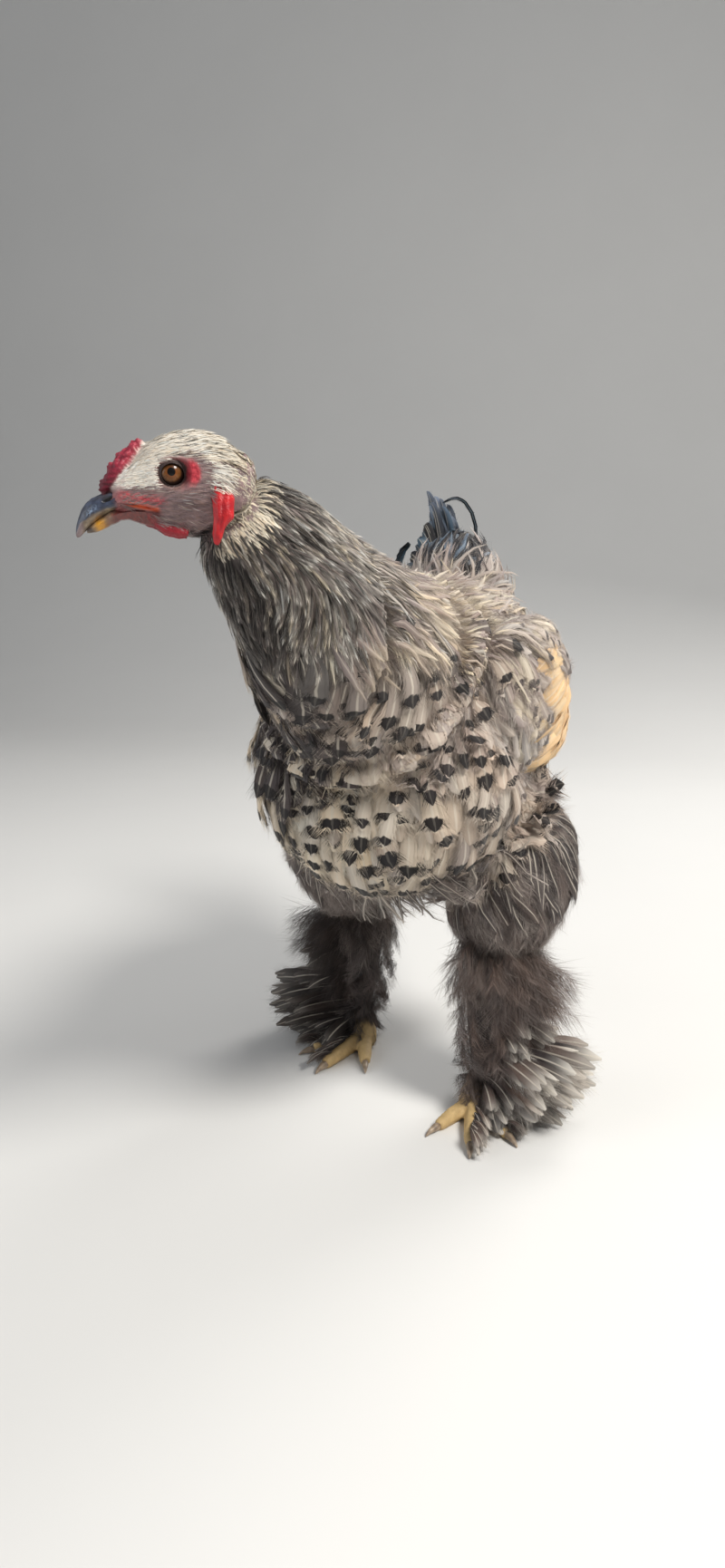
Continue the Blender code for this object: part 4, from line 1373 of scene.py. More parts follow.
bootPlans = (   # root heights, count, how far the tips reach, their drop, bearings, width, style and warmth
    (0.108, 0.136, 120, (0.034, 0.056), (0.012, 0.030), (-120, 100), 0.018, softSpray, 1.1),
    (0.092, 0.118, 110, (0.045, 0.076), (0.006, 0.024), (-62, 66), 0.018, softSpray, 1.1),
    (0.048, 0.092, 90, (0.034, 0.052), (0.000, 0.014), (-62, 62), 0.016, softSpray, 1.0),
    (0.062, 0.094, 26, (0.046, 0.064), (0.004, 0.016), (-45, 50), 0.012, stiffSpray, 0.6),
    (0.030, 0.056, 90, (0.066, 0.092), (0.000, 0.012), (-44, 52), 0.0145, stiffSpray, 1.0),
    (0.012, 0.030, 60, (0.046, 0.072), (0.002, 0.014), (-70, 34), 0.013, stiffSpray, 0.6),
    (0.010, 0.045, 40, (0.020, 0.036), (0.004, 0.020), (-120, 150), 0.013, softSpray, 0.7),
)


def finishSprays(line, facing, width, light, style):
    # feathers of the boots, each at its own place on the skin's map
    count, stations = line.shape[:2]
    up = np.broadcast_to(unit(facing).reshape(-1, 1, 3), (count, stations, 3))
    woven = weave(line, up, width * around(count, 0.18, 0.6, 1.5) / 2, style)
    light = bootColourWithFarShade(count, *light)
    places = surface["map"][faceNear(line[:, 0])]
    return finishBatch(woven, places, light, light * 0.4, 0, 0.2 * chance.random(count), style)


def growBoots(side):
    sign = 1 if side == "left" else -1
    values, spray = pointsOfNode("shank_" + side), sprayPlan
    grown = []
    for low, high, count, reaches, drops, bearings, width, style, warmth in bootPlans:
        stiff = style is stiffSpray
        height = chance.uniform(low, high, count)
        weight = np.exp(-((values[:, 2][None] - height[:, None]) / spray["level"]) ** 2) + 1e-9
        axis = (weight[..., None] * values[None, :, :2]).sum(1) / weight.sum(1)[:, None]
        bearing = np.radians(chance.uniform(*bearings, count))
        way = np.stack([sign * np.cos(bearing), np.sin(bearing)], 1)
        reach = chance.uniform(*reaches, count) * (1 - 0.25 * np.abs(np.sin(bearing)))
        root = np.column_stack([axis + way * spray["rootOut"], height])
        drop = chance.uniform(*drops, count)
        tip = np.column_stack([axis + way * reach[:, None], np.maximum(height - drop, spray["lowest"])])
        arch = spray["stiffArch" if stiff else "softArch"] + 0.005 * chance.random(count)
        bend = (root + tip) / 2 + np.column_stack([way * spray["archOut"], arch])
        line = bentLines(root, bend, tip, style["stations"])
        facing = np.column_stack([way[:, 0] * 0.2, way[:, 1] * 0.2 - 0.75, np.full(count, 0.65)])
        # painted shade: the far boot's pale tips are dimmed, and its feathers darkened towards black
        tipPalenessWithFarShade = 0.2 if side == "right" else warmth if stiff else 1.0
        plan = {**style, "tipShare": style["tipShare"] * tipPalenessWithFarShade}
        grown.append(finishSprays(line, facing, width, (float(side == "right"), warmth), plan))
    return grown


def growToeFeathers(side):
    # stiff short feathers on the middle and outer toes, pointing outwards
    sign = 1 if side == "left" else -1
    values, spray = pointsOfNode("shank_" + side), sprayPlan
    hub = values[values[:, 2] < values[:, 2].min() + 0.008].mean(0)
    # painted shade: the far foot's toe feathers get dimmer pale tips
    style = {**stiffSpray, "stations": 6, "barbs": 26, "tipShare": 0.6 if side == "left" else 0.25}
    grown = []
    for toe, count, spread in (("middle", 26, 0.35), ("outer", 34, 0.75)):
        claw = np.array(middleOf("claw_" + side + "_" + toe))
        share = chance.uniform(0.02, 0.86, count)
        root = hub + (claw - hub) * share[:, None]
        root[:, 2] = spray["toeHeight"] + 0.004 * chance.random(count)
        ahead = unit((claw - hub) * (1, 1, 0))
        aside = np.array([sign, 0.15, 0.0])
        way = unit(ahead[None] * (0.55 + 0.3 * chance.random(count)[:, None])
                   + aside[None] * spread * (0.8 + 0.5 * chance.random(count)[:, None]))
        reach = chance.uniform(*spray["toeReach"], count) * (1 - 0.3 * share)
        tip = root + way * reach[:, None]
        tip[:, 2] = chance.uniform(*spray["toeTip"], count)
        bend = (root + tip) / 2 + (0, 0, spray["archOut"])
        line = bentLines(root, bend, tip, style["stations"])
        facing = np.array([0.1 * sign, -0.3, 1.0])
        # painted shade: the far foot's toe feathers are darkened towards black
        farShadeAndWarmth = (0.6 if side == "right" else 0.0, 0.9)
        grown.append(finishSprays(line, facing, spray["toeWidth"], farShadeAndWarmth, style))
    return grown


fanPlan = {   # metres: how a fan's feathers spread at the root, at the bend and at the tip
    "root": (0.012, 0.008, 0.004), "bend": (0.022, 0.006, 0.012), "tip": (0.018, 0.010, 0.012),
    "bendAt": 0.8, "shorter": 0.45, "uneven": 0.18,
}


def fanTail(name, sign, count, cushion, lanes, style):
    # stiff feathers that rise from the cushion, lean out and roll over at the tips
    plan = fanPlan
    base, top = nodeEnd(name, cushion, False), nodeEnd(name, cushion, True)
    lane = chance.uniform(*lanes, count)
    depth = chance.uniform(-1, 1, count)
    height = 1.0 - plan["shorter"] * np.abs(lane) ** 1.5 - plan["uneven"] * chance.random(count)
    height = style["tall"] * np.clip(height, 0.35, 1)
    out, back, up = plan["root"]
    root = base + np.column_stack([sign * out * lane, back * depth, up * chance.standard_normal(count)])
    rise = (top - base) * height[:, None]
    out, back, down = plan["tip"]
    tip = root + rise + np.column_stack([sign * (0.003 + out * lane), back * depth, -down * lane])
    out, back, up = plan["bend"]
    lean = np.column_stack([sign * (out * lane - 0.002), back * depth, up + 0 * lane])
    line = bentLines(root, root + rise * plan["bendAt"] + lean, tip, style["stations"])
    facing = np.tile(unit(np.array([0.35 * sign, -0.85, 0.2])), (count, style["stations"], 1))
    return finishPlumes(line, facing, style["width"] * around(count, 0.15, 0.6, 1.4), base, style)


def growTail():
    cushion = np.array(middleOf("tail_cushion"))
    # painted sheen: the left fan's feathers pale to a blue gloss at their tips, the plumes to a paler
    # blue-grey reflection
    glossy = {**tailPlan, "tipTint": ink(104, 138, 160), "tipShare": 0.5, "tipFrom": 0.5}
    plume = {**glossy, "tipTint": ink(150, 164, 186), "tipShare": 0.85, "width": 0.013, "tall": 1.16}
    tail = [fanTail(name, sign, count, cushion, lanes, plan) for name, sign, count, lanes, plan in (
        ("tail_left", 1, 76, (-0.3, 1.0), glossy), ("tail_right", -1, 70, (0.1, 1.0), tailPlan),
        ("tail_right", -1, 22, (-0.40, 0.15), plume))]
    for name, width in (("sickle_left", 0.009), ("sickle_right", 0.009), ("sickle_high", 0.0060)):
        tail.append(fillSolid(name, nodeEnd(name, cushion, False), 7, {**sicklePlan, "width": width}))
    return tail


# finishes

def addNode(tree, kind, inputs=(), **settings):
    node = tree.nodes.new(kind)
    for key, value in settings.items():
        setattr(node, key, value)
    for socket, value in dict(inputs).items():
        if isinstance(value, bpy.types.NodeSocket):
            tree.links.new(value, node.inputs[socket])
        else:
            node.inputs[socket].default_value = value
    return node


def calc(tree, operation, *values):
    return addNode(tree, "ShaderNodeMath", dict(enumerate(values)), operation=operation).outputs[0]


def ramp(tree, value, start, stop, low=0.0, high=1.0):
    # from low at start to high at stop, with soft ends
    return addNode(tree, "ShaderNodeMapRange", {0: value, 1: start, 2: stop, 3: low, 4: high},
                   interpolation_type="SMOOTHSTEP").outputs[0]


def mixed(tree, share, first, second, way="MIX"):
    colours = [value if isinstance(value, bpy.types.NodeSocket) else tuple(value) + (1,)
               for value in (first, second)]
    return addNode(tree, "ShaderNodeMix", {0: share, 6: colours[0], 7: colours[1]},
                   data_type="RGBA", blend_type=way).outputs[2]


def newGroup(title, takes, gives):
    tree = bpy.data.node_groups.new(title, "ShaderNodeTree")
    for name, start in takes.items():
        socket = tree.interface.new_socket(name=name, in_out="INPUT", socket_type="NodeSocketFloat")
        socket.default_value = start
    for name, kind in gives.items():
        tree.interface.new_socket(name=name, in_out="OUTPUT", socket_type="NodeSocket" + kind)
    return tree, tree.nodes.new("NodeGroupInput").outputs, tree.nodes.new("NodeGroupOutput").inputs


def cloudsOf(tree, place, scale, detail=2.0):
    return addNode(tree, "ShaderNodeTexNoise", {"Vector": place, "Scale": scale, "Detail": detail}).outputs[0]


def marksOf(tree, name):
    # a colour and its alpha, stored on the piece's points
    marks = addNode(tree, "ShaderNodeAttribute", attribute_name=name).outputs
    return marks["Color"], marks["Alpha"]


def darkened(tree, colour, value):
    grey = addNode(tree, "ShaderNodeCombineColor", {0: value, 1: value, 2: value}).outputs[0]
    return mixed(tree, 1.0, colour, grey, "MULTIPLY")


def makePlumageGroup():
    # spots, centre streaks, shafts and barbs, all laid out along each feather
    tree, given, out = newGroup(
        "plumagePattern", {"Spot Place": 0.88, "Spot Length": 0.11, "Barb Count": 70.0, "Spot Breadth": 0.8},
        {"Color": "Color", "Roughness": "Float", "Height": "Float"})
    do, fade = partial(calc, tree), partial(ramp, tree)
    (light, seed), (dark, shaft), (mark, streak) = (marksOf(tree, name) for name in ("tint", "shade", "mark"))
    along, cross, spotSize = addNode(tree, "ShaderNodeSeparateColor", {0: mark}).outputs
    across = do("ABSOLUTE", do("MULTIPLY_ADD", cross, 2.0, -1.0))
    place = addNode(tree, "ShaderNodeTexCoord").outputs["Object"]
    fine, broad = cloudsOf(tree, place, 260.0), cloudsOf(tree, place, 45.0)
    ragged = do("SUBTRACT", fine, 0.5)

    # the spot bends like a crescent, its ends nearer the root
    rise = do("DIVIDE", do("SUBTRACT", along, given[0]), given[1])
    side = do("DIVIDE", across, given[3])
    sideways = do("MULTIPLY", side, side)
    rise = do("MULTIPLY_ADD", sideways, 0.12, rise)
    far = do("SQRT", do("ADD", do("MULTIPLY", rise, rise), sideways))
    far = do("DIVIDE", do("MULTIPLY_ADD", ragged, 1.1, far), do("MAXIMUM", spotSize, 0.001))
    spot = do("MULTIPLY", fade(far, 0.80, 1.05, 1.0, 0.0), fade(spotSize, 0.02, 0.2))

    centre = fade(do("MULTIPLY_ADD", ragged, 0.3, across), 0.30, 0.66, 1.0, 0.0)
    centre = do("MULTIPLY", do("MULTIPLY", centre, fade(along, 0.72, 0.97, 1.0, 0.0)), streak)
    quill = do("MULTIPLY", fade(across, 0.03, 0.11, 1.0, 0.0), shaft)
    quill = do("MULTIPLY", quill, fade(spot, 0.0, 1.0, 0.65, 0.1))
    colour = mixed(tree, do("MAXIMUM", centre, spot), light, dark)
    colour = mixed(tree, quill, colour, (0.62, 0.56, 0.47))

    turn = do("MULTIPLY_ADD", along, given[2], do("MULTIPLY", across, -9.0))
    wave = do("SINE", do("MULTIPLY", turn, 2 * math.pi))
    value = do("MULTIPLY_ADD", broad, 0.16, do("MULTIPLY_ADD", wave, 0.05, 0.86))
    value = do("MULTIPLY_ADD", seed, 0.10, value)
    tree.links.new(darkened(tree, colour, value), out[0])
    tree.links.new(fade(fine, 0.3, 0.7, -0.06, 0.06), out[1])
    tree.links.new(do("MULTIPLY_ADD", quill, 1.5, do("MULTIPLY", wave, 0.5)), out[2])
    return tree


def makeGrainGroup():
    # the small pebbling and mottling of bare skin, horn and scales
    tree, given, out = newGroup("grainPattern", {"Grain Scale": 900.0, "Mottle Scale": 90.0, "Mottle": 0.25},
                                {"Value": "Float", "Height": "Float"})
    do = partial(calc, tree)
    place = addNode(tree, "ShaderNodeTexCoord").outputs["Object"]
    grain = addNode(tree, "ShaderNodeTexVoronoi", {"Vector": place, "Scale": given[0]}).outputs["Distance"]
    mottle = cloudsOf(tree, place, given[1], 5.0)
    swing = do("MULTIPLY", do("SUBTRACT", mottle, 0.5), given[2])
    tree.links.new(do("MULTIPLY_ADD", swing, 2.0, do("MULTIPLY_ADD", grain, -0.18, 1.08)), out[0])
    tree.links.new(do("SUBTRACT", mottle, grain), out[1])
    return tree


plumagePattern = makePlumageGroup()
grainPattern = makeGrainGroup()


def newMaterial(title, settings):
    # a material with the uniform numbers of its surface
    material = bpy.data.materials.new(title)
    material.use_nodes = True
    takes = material.node_tree.nodes["Principled BSDF"].inputs
    for name, value in settings.items():
        takes[name].default_value = value
    return material, material.node_tree, takes


def patterned(tree, pattern, plan, strength, depth):
    # a shared pattern with this finish's own numbers, and the bumps that it gives
    group = addNode(tree, "ShaderNodeGroup", node_tree=pattern)
    for socket in group.inputs:
        if socket.name in plan:
            socket.default_value = plan[socket.name]
    relief = {"Height": group.outputs["Height"], "Strength": strength, "Distance": depth}
    return group.outputs, addNode(tree, "ShaderNodeBump", relief).outputs[0]


def plumageFinish(title, plan):
    material, tree, takes = newMaterial(title, {
        "Specular IOR Level": plan["specular"], "Sheen Weight": plan["sheen"], "Sheen Roughness": 0.5})
    pattern, relief = patterned(tree, plumagePattern, plan, 0.35, 0.0004)
    tree.links.new(pattern["Color"], takes["Base Color"])
    tree.links.new(calc(tree, "ADD", pattern["Roughness"], plan["rough"]), takes["Roughness"])
    tree.links.new(relief, takes["Normal"])
    return material


def grainFinish(title, plan):
    # the colour comes from the piece's own attribute, its alpha gives the roughness
    material, tree, takes = newMaterial(title, {
        "Specular IOR Level": plan["specular"], "Coat Weight": plan["coat"], "Coat Roughness": 0.25})
    tint, rough = marksOf(tree, "tint")
    pattern, relief = patterned(tree, grainPattern, plan, plan["bump"], plan["bumpDepth"])
    tree.links.new(darkened(tree, tint, pattern["Value"]), takes["Base Color"])
    tree.links.new(rough, takes["Roughness"])
    tree.links.new(relief, takes["Normal"])
    return material


softPlumage = plumageFinish("softPlumage", {"rough": 0.72, "specular": 0.25, "sheen": 0.12,
                                            "Spot Place": 0.885, "Spot Length": 0.115, "Spot Breadth": 0.84})
darkPlumage = plumageFinish("darkPlumage", {"rough": 0.60, "specular": 0.35, "sheen": 0.05})
tailPlumage = plumageFinish("tailPlumage", {"rough": 0.38, "specular": 0.6, "sheen": 0.0,
                                            "Barb Count": 110.0})
bareSkin = grainFinish("bareSkin", {"Grain Scale": 1500.0, "Mottle Scale": 160.0, "Mottle": 0.30,
                                    "bump": 0.5, "bumpDepth": 0.0004, "specular": 0.4, "coat": 0.0})
billHorn = grainFinish("billHorn", {"Grain Scale": 2600.0, "Mottle Scale": 120.0, "Mottle": 0.35,
                                    "bump": 0.25, "bumpDepth": 0.0002, "specular": 0.5, "coat": 0.15})


# the skin's colours

def mottled(first, second, share):
    # one colour clouded with another, both 0 to 255
    return blend(ink(*first), ink(*second), np.clip(share, 0, 1))


def faceTint(local, found):
    # the colours of the face's skin, which the root of the bill shares
    forward, up = local[:, 0], local[:, 2]
    cloud, speck = drift(local, 0.32, 11.0), drift(local, 1.2, 12.0)
    ring = found["ring"]
    aroundPatch = 1 - np.clip(found["patch"], 0, 1)
    # the bare red patch by the eye: painted highlight on its grains' tops, painted shade in their furrows and
    # in the fold beside the eye
    patch = mottled((146, 24, 40), (222, 80, 90), pebbles(local, 1.5, 2.0) ** 1.5 + 0.4 * speck)
    patch = blend(patch, ink(96, 16, 30), bell(forward, -6.8, 1.3) * 0.7)
    # painted light and shade: the lids lighter and darker in bands that follow their shaped folds
    lid = mottled((84, 62, 60), (142, 112, 104), 0.5 + 0.5 * np.cos((ring - 1.0) * 24.0))
    tone = mottled((146, 120, 118), (104, 86, 88), 0.5 + 0.9 * cloud)
    for hue, share in (
        (ink(168, 112, 112), ease(-6, -12, up) * ease(4, 14, forward) * 0.7),
        (blend(hues["snow"], hues["silver"], 0.5), found["crown"]),
        (hues["charcoal"], found["throat"] * 0.9),
        (blend(hues["rose"], hues["snow"], 0.7), ease(6, 10, forward) * ease(-9, -5, up) * 0.85),
        (mottled((158, 42, 58), (204, 98, 98), 0.35 + 1.3 * speck), found["strip"] * (0.85 + 0.8 * cloud)),
        (mottled((150, 58, 52), (104, 44, 46), 0.5 + speck), found["jaw"] * 0.9),
        (mottled((142, 54, 52), (88, 38, 40), 0.5 + speck),
         ease(-17.0, -19.5, up) * ease(3, 8, forward) * 0.85),
        (ink(112, 26, 38), found["chinRed"] * 0.9),
        (mottled((214, 104, 56), (196, 74, 50), 0.5 + speck), found["gape"] * 1.1),
        # painted shade: a dark line along the mouth's groove
        (ink(70, 30, 32), found["mouth"] * 0.95),
        (patch, found["patch"] * 1.7),
        (lid, found["lateral"] * ease(1.80, 1.35, ring) * aroundPatch),
        (ink(160, 48, 54), found["lateral"] * bell(ring, 1.50, 0.07) * ease(0, 3, up) * 0.8),
        # the lids' dark rim, widened over the upper lid by painted shade under the brow
        (ink(50, 33, 30), found["lateral"] * ease(1.28, 1.08, ring - 0.24 * ease(-1, 3, up))),
    ):
        tone = blend(tone, hue, np.clip(share, 0, 1))
    return tone


def billTint(local):
    # slate along the top, horn brown below, with one yellow stain, dark blotches, a pale patch of painted
    # highlight, a paler band of scuffs and painted sheen, and dark cracks
    forward, up = local[:, 0], local[:, 2]
    cloud, speck = drift(local, 0.4, 14.0), drift(local, 1.3, 15.0)
    border = np.interp(forward, (18, 27.5, 34.8, 42.7, 46), (-14.6, -15.3, -17.7, -22.4, -29))
    below = ease(0.5, -0.9, up - border + 0.8 * cloud)
    # a paler blue band on the slate: partly scuffed horn, partly painted sheen
    scuffAndSheen = bell(forward, 37.4, 2.6) * bell(up - border, 2.0, 1.5)
    slate = mottled((34, 38, 52), (58, 66, 86), 0.5 + cloud)
    slate = blend(slate, ink(134, 152, 176), scuffAndSheen * np.clip(0.5 + 1.6 * speck, 0, 1))
    tone = blend(slate, mottled((104, 88, 74), (140, 124, 102), 0.4 + 1.2 * cloud), below)
    tone = blend(tone, ink(130, 112, 112), ease(40.5, 43.0, forward) * below)
    for x, z, wide, tall, hue, most in billPlan["stainsAndHighlight"]:
        stain = bell(forward + 0.7 * speck, x, wide) * bell(up + 0.7 * cloud, z, tall)
        tone = blend(tone, ink(*hue), np.clip(stain * 1.5, 0, 1) * most)
    return tone


underHues = {   # under the feathers the skin is near their colour, so that none glares through
    "trunk": hues["ash"] * 0.8, "wing": hues["ash"] * 0.8, "flight": hues["buff"], "thigh": hues["smoke"],
    "shank": hues["charcoal"], "tail_cushion": hues["smoke"], "foot": hues["scale"],
    "wattle": ink(142, 26, 38),
}
bareRough = {"earlobe": 0.38, "wattle": 0.42, "comb": 0.45}


def paintSkin():
    points = pointsOf(skin)
    names = np.array(nodeAt(points))
    local = toHead(points)
    colour = np.tile(blend(hues["rose"], hues["ash"], 0.5), (len(points), 1))
    rough = np.full(len(points), 0.6)
    for start, hue in underHues.items():
        colour[np.char.startswith(names, start)] = hue
    for start, value in bareRough.items():
        rough[np.char.startswith(names, start)] = value
    # the comb darker towards its base, with a painted highlight on the tops of its grains and painted shade
    # in the furrows between them
    crest = pebbles(local, 2.8)
    comb = mottled((96, 18, 36), (136, 28, 50), ease(-8, 5, local[:, 2] + 2 * drift(local, 0.4)))
    comb = blend(comb, ink(196, 78, 92), crest ** 2 * 0.8 * ease(-2, 8, local[:, 2]))
    comb = blend(comb, ink(70, 14, 28), ease(0.45, 0.0, crest) * 0.6)
    lobe = mottled((196, 30, 34), (160, 20, 32), 0.5 - 0.9 * drift(local, 0.35))
    # painted shade in the lobe's upright fold
    lobe = blend(lobe, ink(120, 14, 24), earFold(local, 1.1) * 0.5)
    neck = blend(blend(hues["ash"], hues["taupe"], 0.5), hues["charcoal"], neckUnder(points))
    face = faceTint(local, headFeatures(local))
    for start, tone in (("neck", neck), ("head", face), ("eye", face), ("beak", face), ("comb", comb),
                        ("earlobe", lobe)):
        chosen = np.char.startswith(names, start)
        colour[chosen] = tone[chosen]
    paintPoints(skin, "tint", smoothValues(skin, colour, 1), rough)


paintSkin()
skin.data.materials.clear()
skin.data.materials.append(bareSkin)
skinNodes = [n for n in fleshNodes if not n.startswith(("beak", "eye"))]
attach(skin, "root")
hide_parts(*skinNodes)
print("skin painted")


# eyes

eyePlan = {
    "iris": 5.2, "pupil": 1.9, "cornea": 0.45, "segments": 64, "rings": 40, "rustRing": (2.2, 3.6),
    "amber": ink(84, 50, 23), "gold": ink(128, 84, 42), "rust": ink(120, 62, 20), "limbus": ink(30, 18, 14),
    # shade below is painted shade over the top of the iris
    "shade": ink(38, 22, 15), "dark": ink(5, 4, 4),
}


def eyeAxis(side):
    return headLeft * (1 if side == "left" else -1)


def eyeFinish(side):
    # rings about the eye's own axis, in millimetres
    plan = eyePlan
    material, tree, takes = newMaterial("iris_" + side, {
        "Roughness": 0.35, "Specular IOR Level": 0.1, "Coat Weight": 0.4, "Coat Roughness": 0.03})
    fade = partial(ramp, tree)

    def vectors(operation, *values):
        return addNode(tree, "ShaderNodeVectorMath", dict(enumerate(values)), operation=operation).outputs

    place = addNode(tree, "ShaderNodeTexCoord").outputs["Object"]
    offset = vectors("SUBTRACT", place, tuple(eyeMiddle[side]))[0]
    cross = vectors("CROSS_PRODUCT", offset, tuple(eyeAxis(side)))[0]
    far = calc(tree, "MULTIPLY", vectors("LENGTH", cross)["Value"], 1000.0)
    fibre = cloudsOf(tree, vectors("NORMALIZE", cross)[0], 14.0, 4.0)
    share = calc(tree, "MULTIPLY_ADD", fibre, 0.8, calc(tree, "MULTIPLY", cloudsOf(tree, offset, 700.0), 0.4))
    height = addNode(tree, "ShaderNodeSeparateXYZ", {0: offset}).outputs[2]
    iris = mixed(tree, fade(share, 0.35, 0.85), plan["amber"], plan["gold"])
    iris = mixed(tree, fade(far, *plan["rustRing"], 0.55, 0.0), iris, plan["rust"])
    iris = mixed(tree, fade(far, plan["iris"] - 1.6, plan["iris"] - 0.3), iris, plan["limbus"])
    # painted shade: the top of the iris darker, as under the upper lid
    iris = mixed(tree, fade(height, -0.0002, 0.0038, 0.0, 0.88), iris, plan["shade"])
    iris = mixed(tree, fade(far, plan["pupil"] - 0.12, plan["pupil"] + 0.12), plan["dark"], iris)
    tree.links.new(iris, takes["Base Color"])
    return material


def makeEye(side):
    plan = eyePlan
    deselect()
    axis = eyeAxis(side)
    bpy.ops.mesh.primitive_uv_sphere_add(
        segments=plan["segments"], ring_count=plan["rings"], radius=eyeRadius, location=eyeMiddle[side],
        rotation=axis.to_track_quat("Z", "Y").to_euler())
    eye = bpy.context.object
    eye.name = eye.data.name = "eyeball_" + side
    bpy.ops.object.transform_apply(location=True, rotation=True, scale=True)
    points = pointsOf(eye)
    offset = points - np.array(eyeMiddle[side])
    out = offset @ np.array(axis)
    radial = np.linalg.norm(offset - out[:, None] * np.array(axis), axis=1) * 1000
    dome = plan["cornea"] * np.clip(1 - (radial / (plan["iris"] + 0.3)) ** 2, 0, 1) * (out > 0)
    movePoints(eye, points + dome[:, None] / 1000 * np.array(axis))
    shadeSmooth(eye)
    eye.data.materials.append(eyeFinish(side))
    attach(eye, "root")
    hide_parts("eye_" + side)


for side in ("left", "right"):
    makeEye(side)
print("eyes set")


# the bill, its two halves worked up from their solids

billPlan = {
    "voxel": 0.00042, "nostril": (29.6, -11.6), "nostrilSize": (3.3, 1.0), "tilt": -0.45,
    "nostrilShade": ink(20, 18, 20), "flap": ink(64, 58, 60), "crack": ink(60, 52, 50),
    "stainsAndHighlight": (   # forward, up, breadth, height, colour and strength
        (33.3, -23.6, 2.6, 2.6, (196, 138, 32), 0.95), (23.4, -19.4, 2.8, 1.7, (58, 52, 52), 0.85),
        # the pale cream patch (28.5, -17.2) is a painted highlight; the rest are stains
        (38.6, -25.6, 1.3, 1.1, (66, 58, 58), 0.75), (28.5, -17.2, 1.8, 1.0, (170, 156, 128), 0.6),
    ),
}


def makeBill(half):
    plan = billPlan
    upper = half == "upper"
    bill = copyOfNodes(["beak_" + half], "bill_" + half, 0.0003)
    evenOut(bill, plan["voxel"], 3)
    points, normals = pointsOf(bill), normalsOf(bill)
    local, out = toHead(points), normals @ headAxes
    forward, side, up = local.T
    x, z = plan["nostril"]
    lean, fall = math.cos(plan["tilt"]), math.sin(plan["tilt"])
    turned, risen = (forward - x) * lean + (up - z) * fall, (up - z) * lean - (forward - x) * fall
    hole = np.hypot(turned / plan["nostrilSize"][0], (risen + 0.3) / plan["nostrilSize"][1])
    sides = ease(0.2, 0.6, np.abs(out[:, 1]))
    growth = np.sin(forward * 1.7 + 0.9 * up + 2.6 * drift(local, 0.3))
    crack = ease(0.55, 0.75, np.abs(drift(local * (0.5, 1, 1.6), 0.7, 21.0))) * ease(26, 30, forward)
    flap = bell(turned, 0.3, 3.2) * bell(risen, 1.5, 1.0) * upper
    push = 0.04 * growth - 0.25 * crack - 0.5 * ease(26.5, 22.0, forward)
    if upper:
        push += (0.7 * flap - 1.5 * ease(1.05, 0.6, hole)) * sides
        push += 0.35 * bell(side, 0, 0.9) * ease(26, 34, forward)   # the ridge along the top
    else:
        push -= 0.25
    points = points + normals * push[:, None] / 1000
    points[:, 2] += jawLift(local)
    movePoints(bill, points)

    local = toHead(points)
    forward, up = local[:, 0], local[:, 2]
    colour = blend(billTint(local), plan["flap"], flap * sides * 0.7)
    gum = faceTint(local, headFeatures(local))
    fleshy = ease(28.0, 23.5, forward + 0.35 * (up + 15) + 1.2 * drift(local, 0.5, 16.0))
    if upper:
        # painted shade: the nostril's opening nearly black
        colour = blend(colour, plan["nostrilShade"], ease(1.1, 0.8, hole) * sides)
    else:
        gum = blend(gum, mottled((122, 56, 48), (84, 44, 42), 0.5 + drift(local, 0.9, 18.0)), 0.85)
        fleshy = ease(33.0, 25.0, forward + 1.6 * drift(local, 0.5, 16.0))
    colour = blend(blend(colour, plan["crack"], crack * 0.5), gum, fleshy)
    # painted shade: faces of the bill that point down are darker
    downFacingShade = 0.8 + 0.2 * ease(0.0, 0.5, np.abs(out[:, 2] + 1.0))
    streaky = (1 + 0.05 * growth + 0.10 * drift(local, 1.1, 4.0)) * downFacingShade
    paintPoints(bill, "tint", np.clip(colour * streaky[:, None], 0, 1), 0.36 + 0.04 * growth)
    bill.data.materials.append(billHorn)
    shadeSmooth(bill)
    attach(bill, "root")
    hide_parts("beak_" + half)


for half in ("upper", "lower"):
    makeBill(half)


# claws

clawPlan = {"voxel": 0.0006, "passes": 3, "pale": ink(176, 156, 132), "dark": ink(96, 82, 72), "rough": 0.4}


def makeClaws():
    plan = clawPlan
    names = sorted(nodesOf("claw"))
    claws = copyOfNodes(names, "claws", 0.0001)
    evenOut(claws, plan["voxel"], plan["passes"])
    points = pointsOf(claws)
    points[:, 2] = np.clip(points[:, 2], 0.0, None)
    movePoints(claws, points)
    colour = blend(plan["pale"], plan["dark"], 0.5 + 0.5 * drift(points, 300.0))
    paintPoints(claws, "tint", colour, plan["rough"])
    claws.data.materials.append(billHorn)
    shadeSmooth(claws)
    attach(claws, "root")
    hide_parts(*names)


makeClaws()
print("bill and claws made")


# the coat

def growCoat():
    batches = {}
    for plan in tracts:
        batches.setdefault(plan["piece"], []).append(growTract(plan))
    for side in ("left", "right"):
        batches["boot_" + side] = growBoots(side) + growToeFeathers(side)
    batches["tail"] = growTail()
    return batches


coatPlan = {   # finish, slot and the solids that each piece of the coat stands for
    **{name: (softPlumage, "plumage", []) for name in ("crown", "face", "hackle", "cape", "saddle", "wing")},
    **{name: (darkPlumage, "plumage", []) for name in ("flank", "cushion")},
    **{name: (darkPlumage, "fluff", []) for name in ("thigh", "shank", "belly")},
    "breast": (softPlumage, "breast", []), "flight": (softPlumage, "wing_bay", []),
    "boot_left": (darkPlumage, "fluff", nodesOf("boot_left")),
    "boot_right": (darkPlumage, "fluff", nodesOf("boot_right")),
    "tail": (tailPlumage, "tail", nodesOf("tail_l", "tail_r", "sickle")),
}

for name, batches in growCoat().items():
    finish, slot, stood = coatPlan[name]
    piece = buildCoat(name + "_feathers", batches, finish)
    if stood:
        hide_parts(*stood)


# floor, light and camera

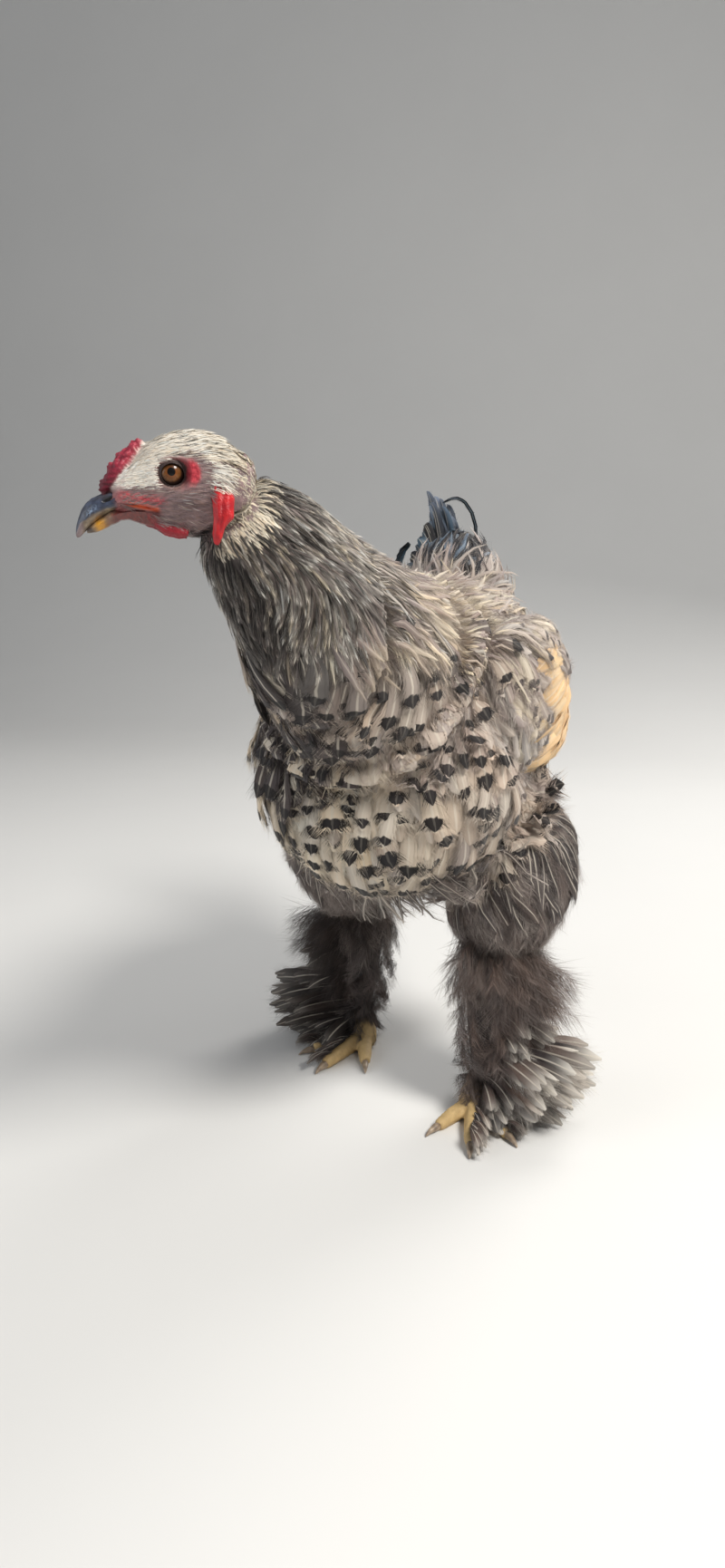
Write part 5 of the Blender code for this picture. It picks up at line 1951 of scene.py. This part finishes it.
stagePlan = {"width": 9.0, "depth": 7.0, "behind": 3.2, "height": 6.0, "bend": 1.6, "segments": 14,
             "colour": (0.70, 0.695, 0.68)}


def selectEdges(piece, chosen):
    # only the edges whose two ends both pass are selected
    with editing(piece, "DESELECT"):
        pass
    for edge in piece.data.edges:
        edge.select = all(chosen(piece.data.vertices[i].co) for i in edge.vertices)


def makeStage():
    plan = stagePlan
    deselect()
    bpy.ops.mesh.primitive_plane_add(size=1, location=(0, plan["behind"] - plan["depth"] / 2, 0))
    floor = bpy.context.object
    floor.name = floor.data.name = "floor_sweep"
    floor.scale = (plan["width"], plan["depth"], 1)
    bpy.ops.object.transform_apply(location=True, rotation=True, scale=True)
    with editing(floor):
        bpy.ops.mesh.select_mode(type="EDGE")
    selectEdges(floor, lambda spot: spot.y > plan["behind"] - 0.01)
    with editing(floor):
        bpy.ops.mesh.extrude_region_move(TRANSFORM_OT_translate={"value": (0, 0, plan["height"])})
    selectEdges(floor, lambda spot: spot.y > plan["behind"] - 0.01 and spot.z < 0.01)
    with editing(floor):
        bpy.ops.mesh.bevel(offset=plan["bend"], segments=plan["segments"], affect="EDGES")
    shadeSmooth(floor)
    material, tree, takes = newMaterial("floorPaint", {"Roughness": 0.85})
    cloud = cloudsOf(tree, addNode(tree, "ShaderNodeTexCoord").outputs["Object"], 3.0, 4.0)
    pale = np.array(plan["colour"])
    tree.links.new(mixed(tree, ramp(tree, cloud, 0.3, 0.7), pale * 0.985, pale), takes["Base Color"])
    floor.data.materials.append(material)


lampPlan = {   # place, breadth, power and colour of each lamp, all aimed at the bird
    "keyLight": ((1.3, -0.5, 1.8), 0.7, 52, (1.0, 0.97, 0.92)),
    "fillLight": ((-1.5, -1.4, 0.9), 1.6, 13, (0.95, 0.97, 1.0)),
    "rimLight": ((0.5, 1.7, 1.5), 1.0, 22, (1.0, 0.98, 0.95)),
}
skyPlan = {"colour": (0.80, 0.82, 0.85, 1), "strength": 0.36}


def makeLamp(title, place, size, power, colour):
    lamp = bpy.data.lights.new(title, "AREA")
    lamp.shape = "DISK"
    lamp.size, lamp.energy, lamp.color = size, power, colour
    holder = bpy.data.objects.new(title, lamp)
    scene.collection.objects.link(holder)
    holder.location = place
    aim = Vector(birdPlace) + Vector((0, -0.02, 0.26))
    holder.rotation_euler = (aim - Vector(place)).to_track_quat("-Z", "Y").to_euler()


def makeSky():
    world = bpy.data.worlds.new("studio")
    scene.world = world
    world.use_nodes = True
    sky = world.node_tree.nodes["Background"].inputs
    sky[0].default_value, sky[1].default_value = skyPlan["colour"], skyPlan["strength"]


cameraPlan = {"spot": (0.235, -0.723, 0.39), "bearing": 21.1, "pitch": 10.8, "lens": 22.89}


def makeCamera():
    plan = cameraPlan
    camera = bpy.data.cameras.new("camera")
    holder = bpy.data.objects.new("camera", camera)
    scene.collection.objects.link(holder)
    turn, dip = math.radians(plan["bearing"]), math.radians(plan["pitch"])
    holder.location = Vector(plan["spot"]) + Vector(birdPlace)
    way = Vector((-math.sin(turn) * math.cos(dip), math.cos(turn) * math.cos(dip), -math.sin(dip)))
    holder.rotation_euler = way.to_track_quat("-Z", "Y").to_euler()
    camera.sensor_width = 36
    camera.lens = plan["lens"]
    camera.clip_start, camera.clip_end = 0.02, 40
    scene.camera = holder


makeStage()
for title, plan in lampPlan.items():
    makeLamp(title, *plan)
makeSky()
makeCamera()
scene.view_settings.view_transform = "Standard"

print("done")
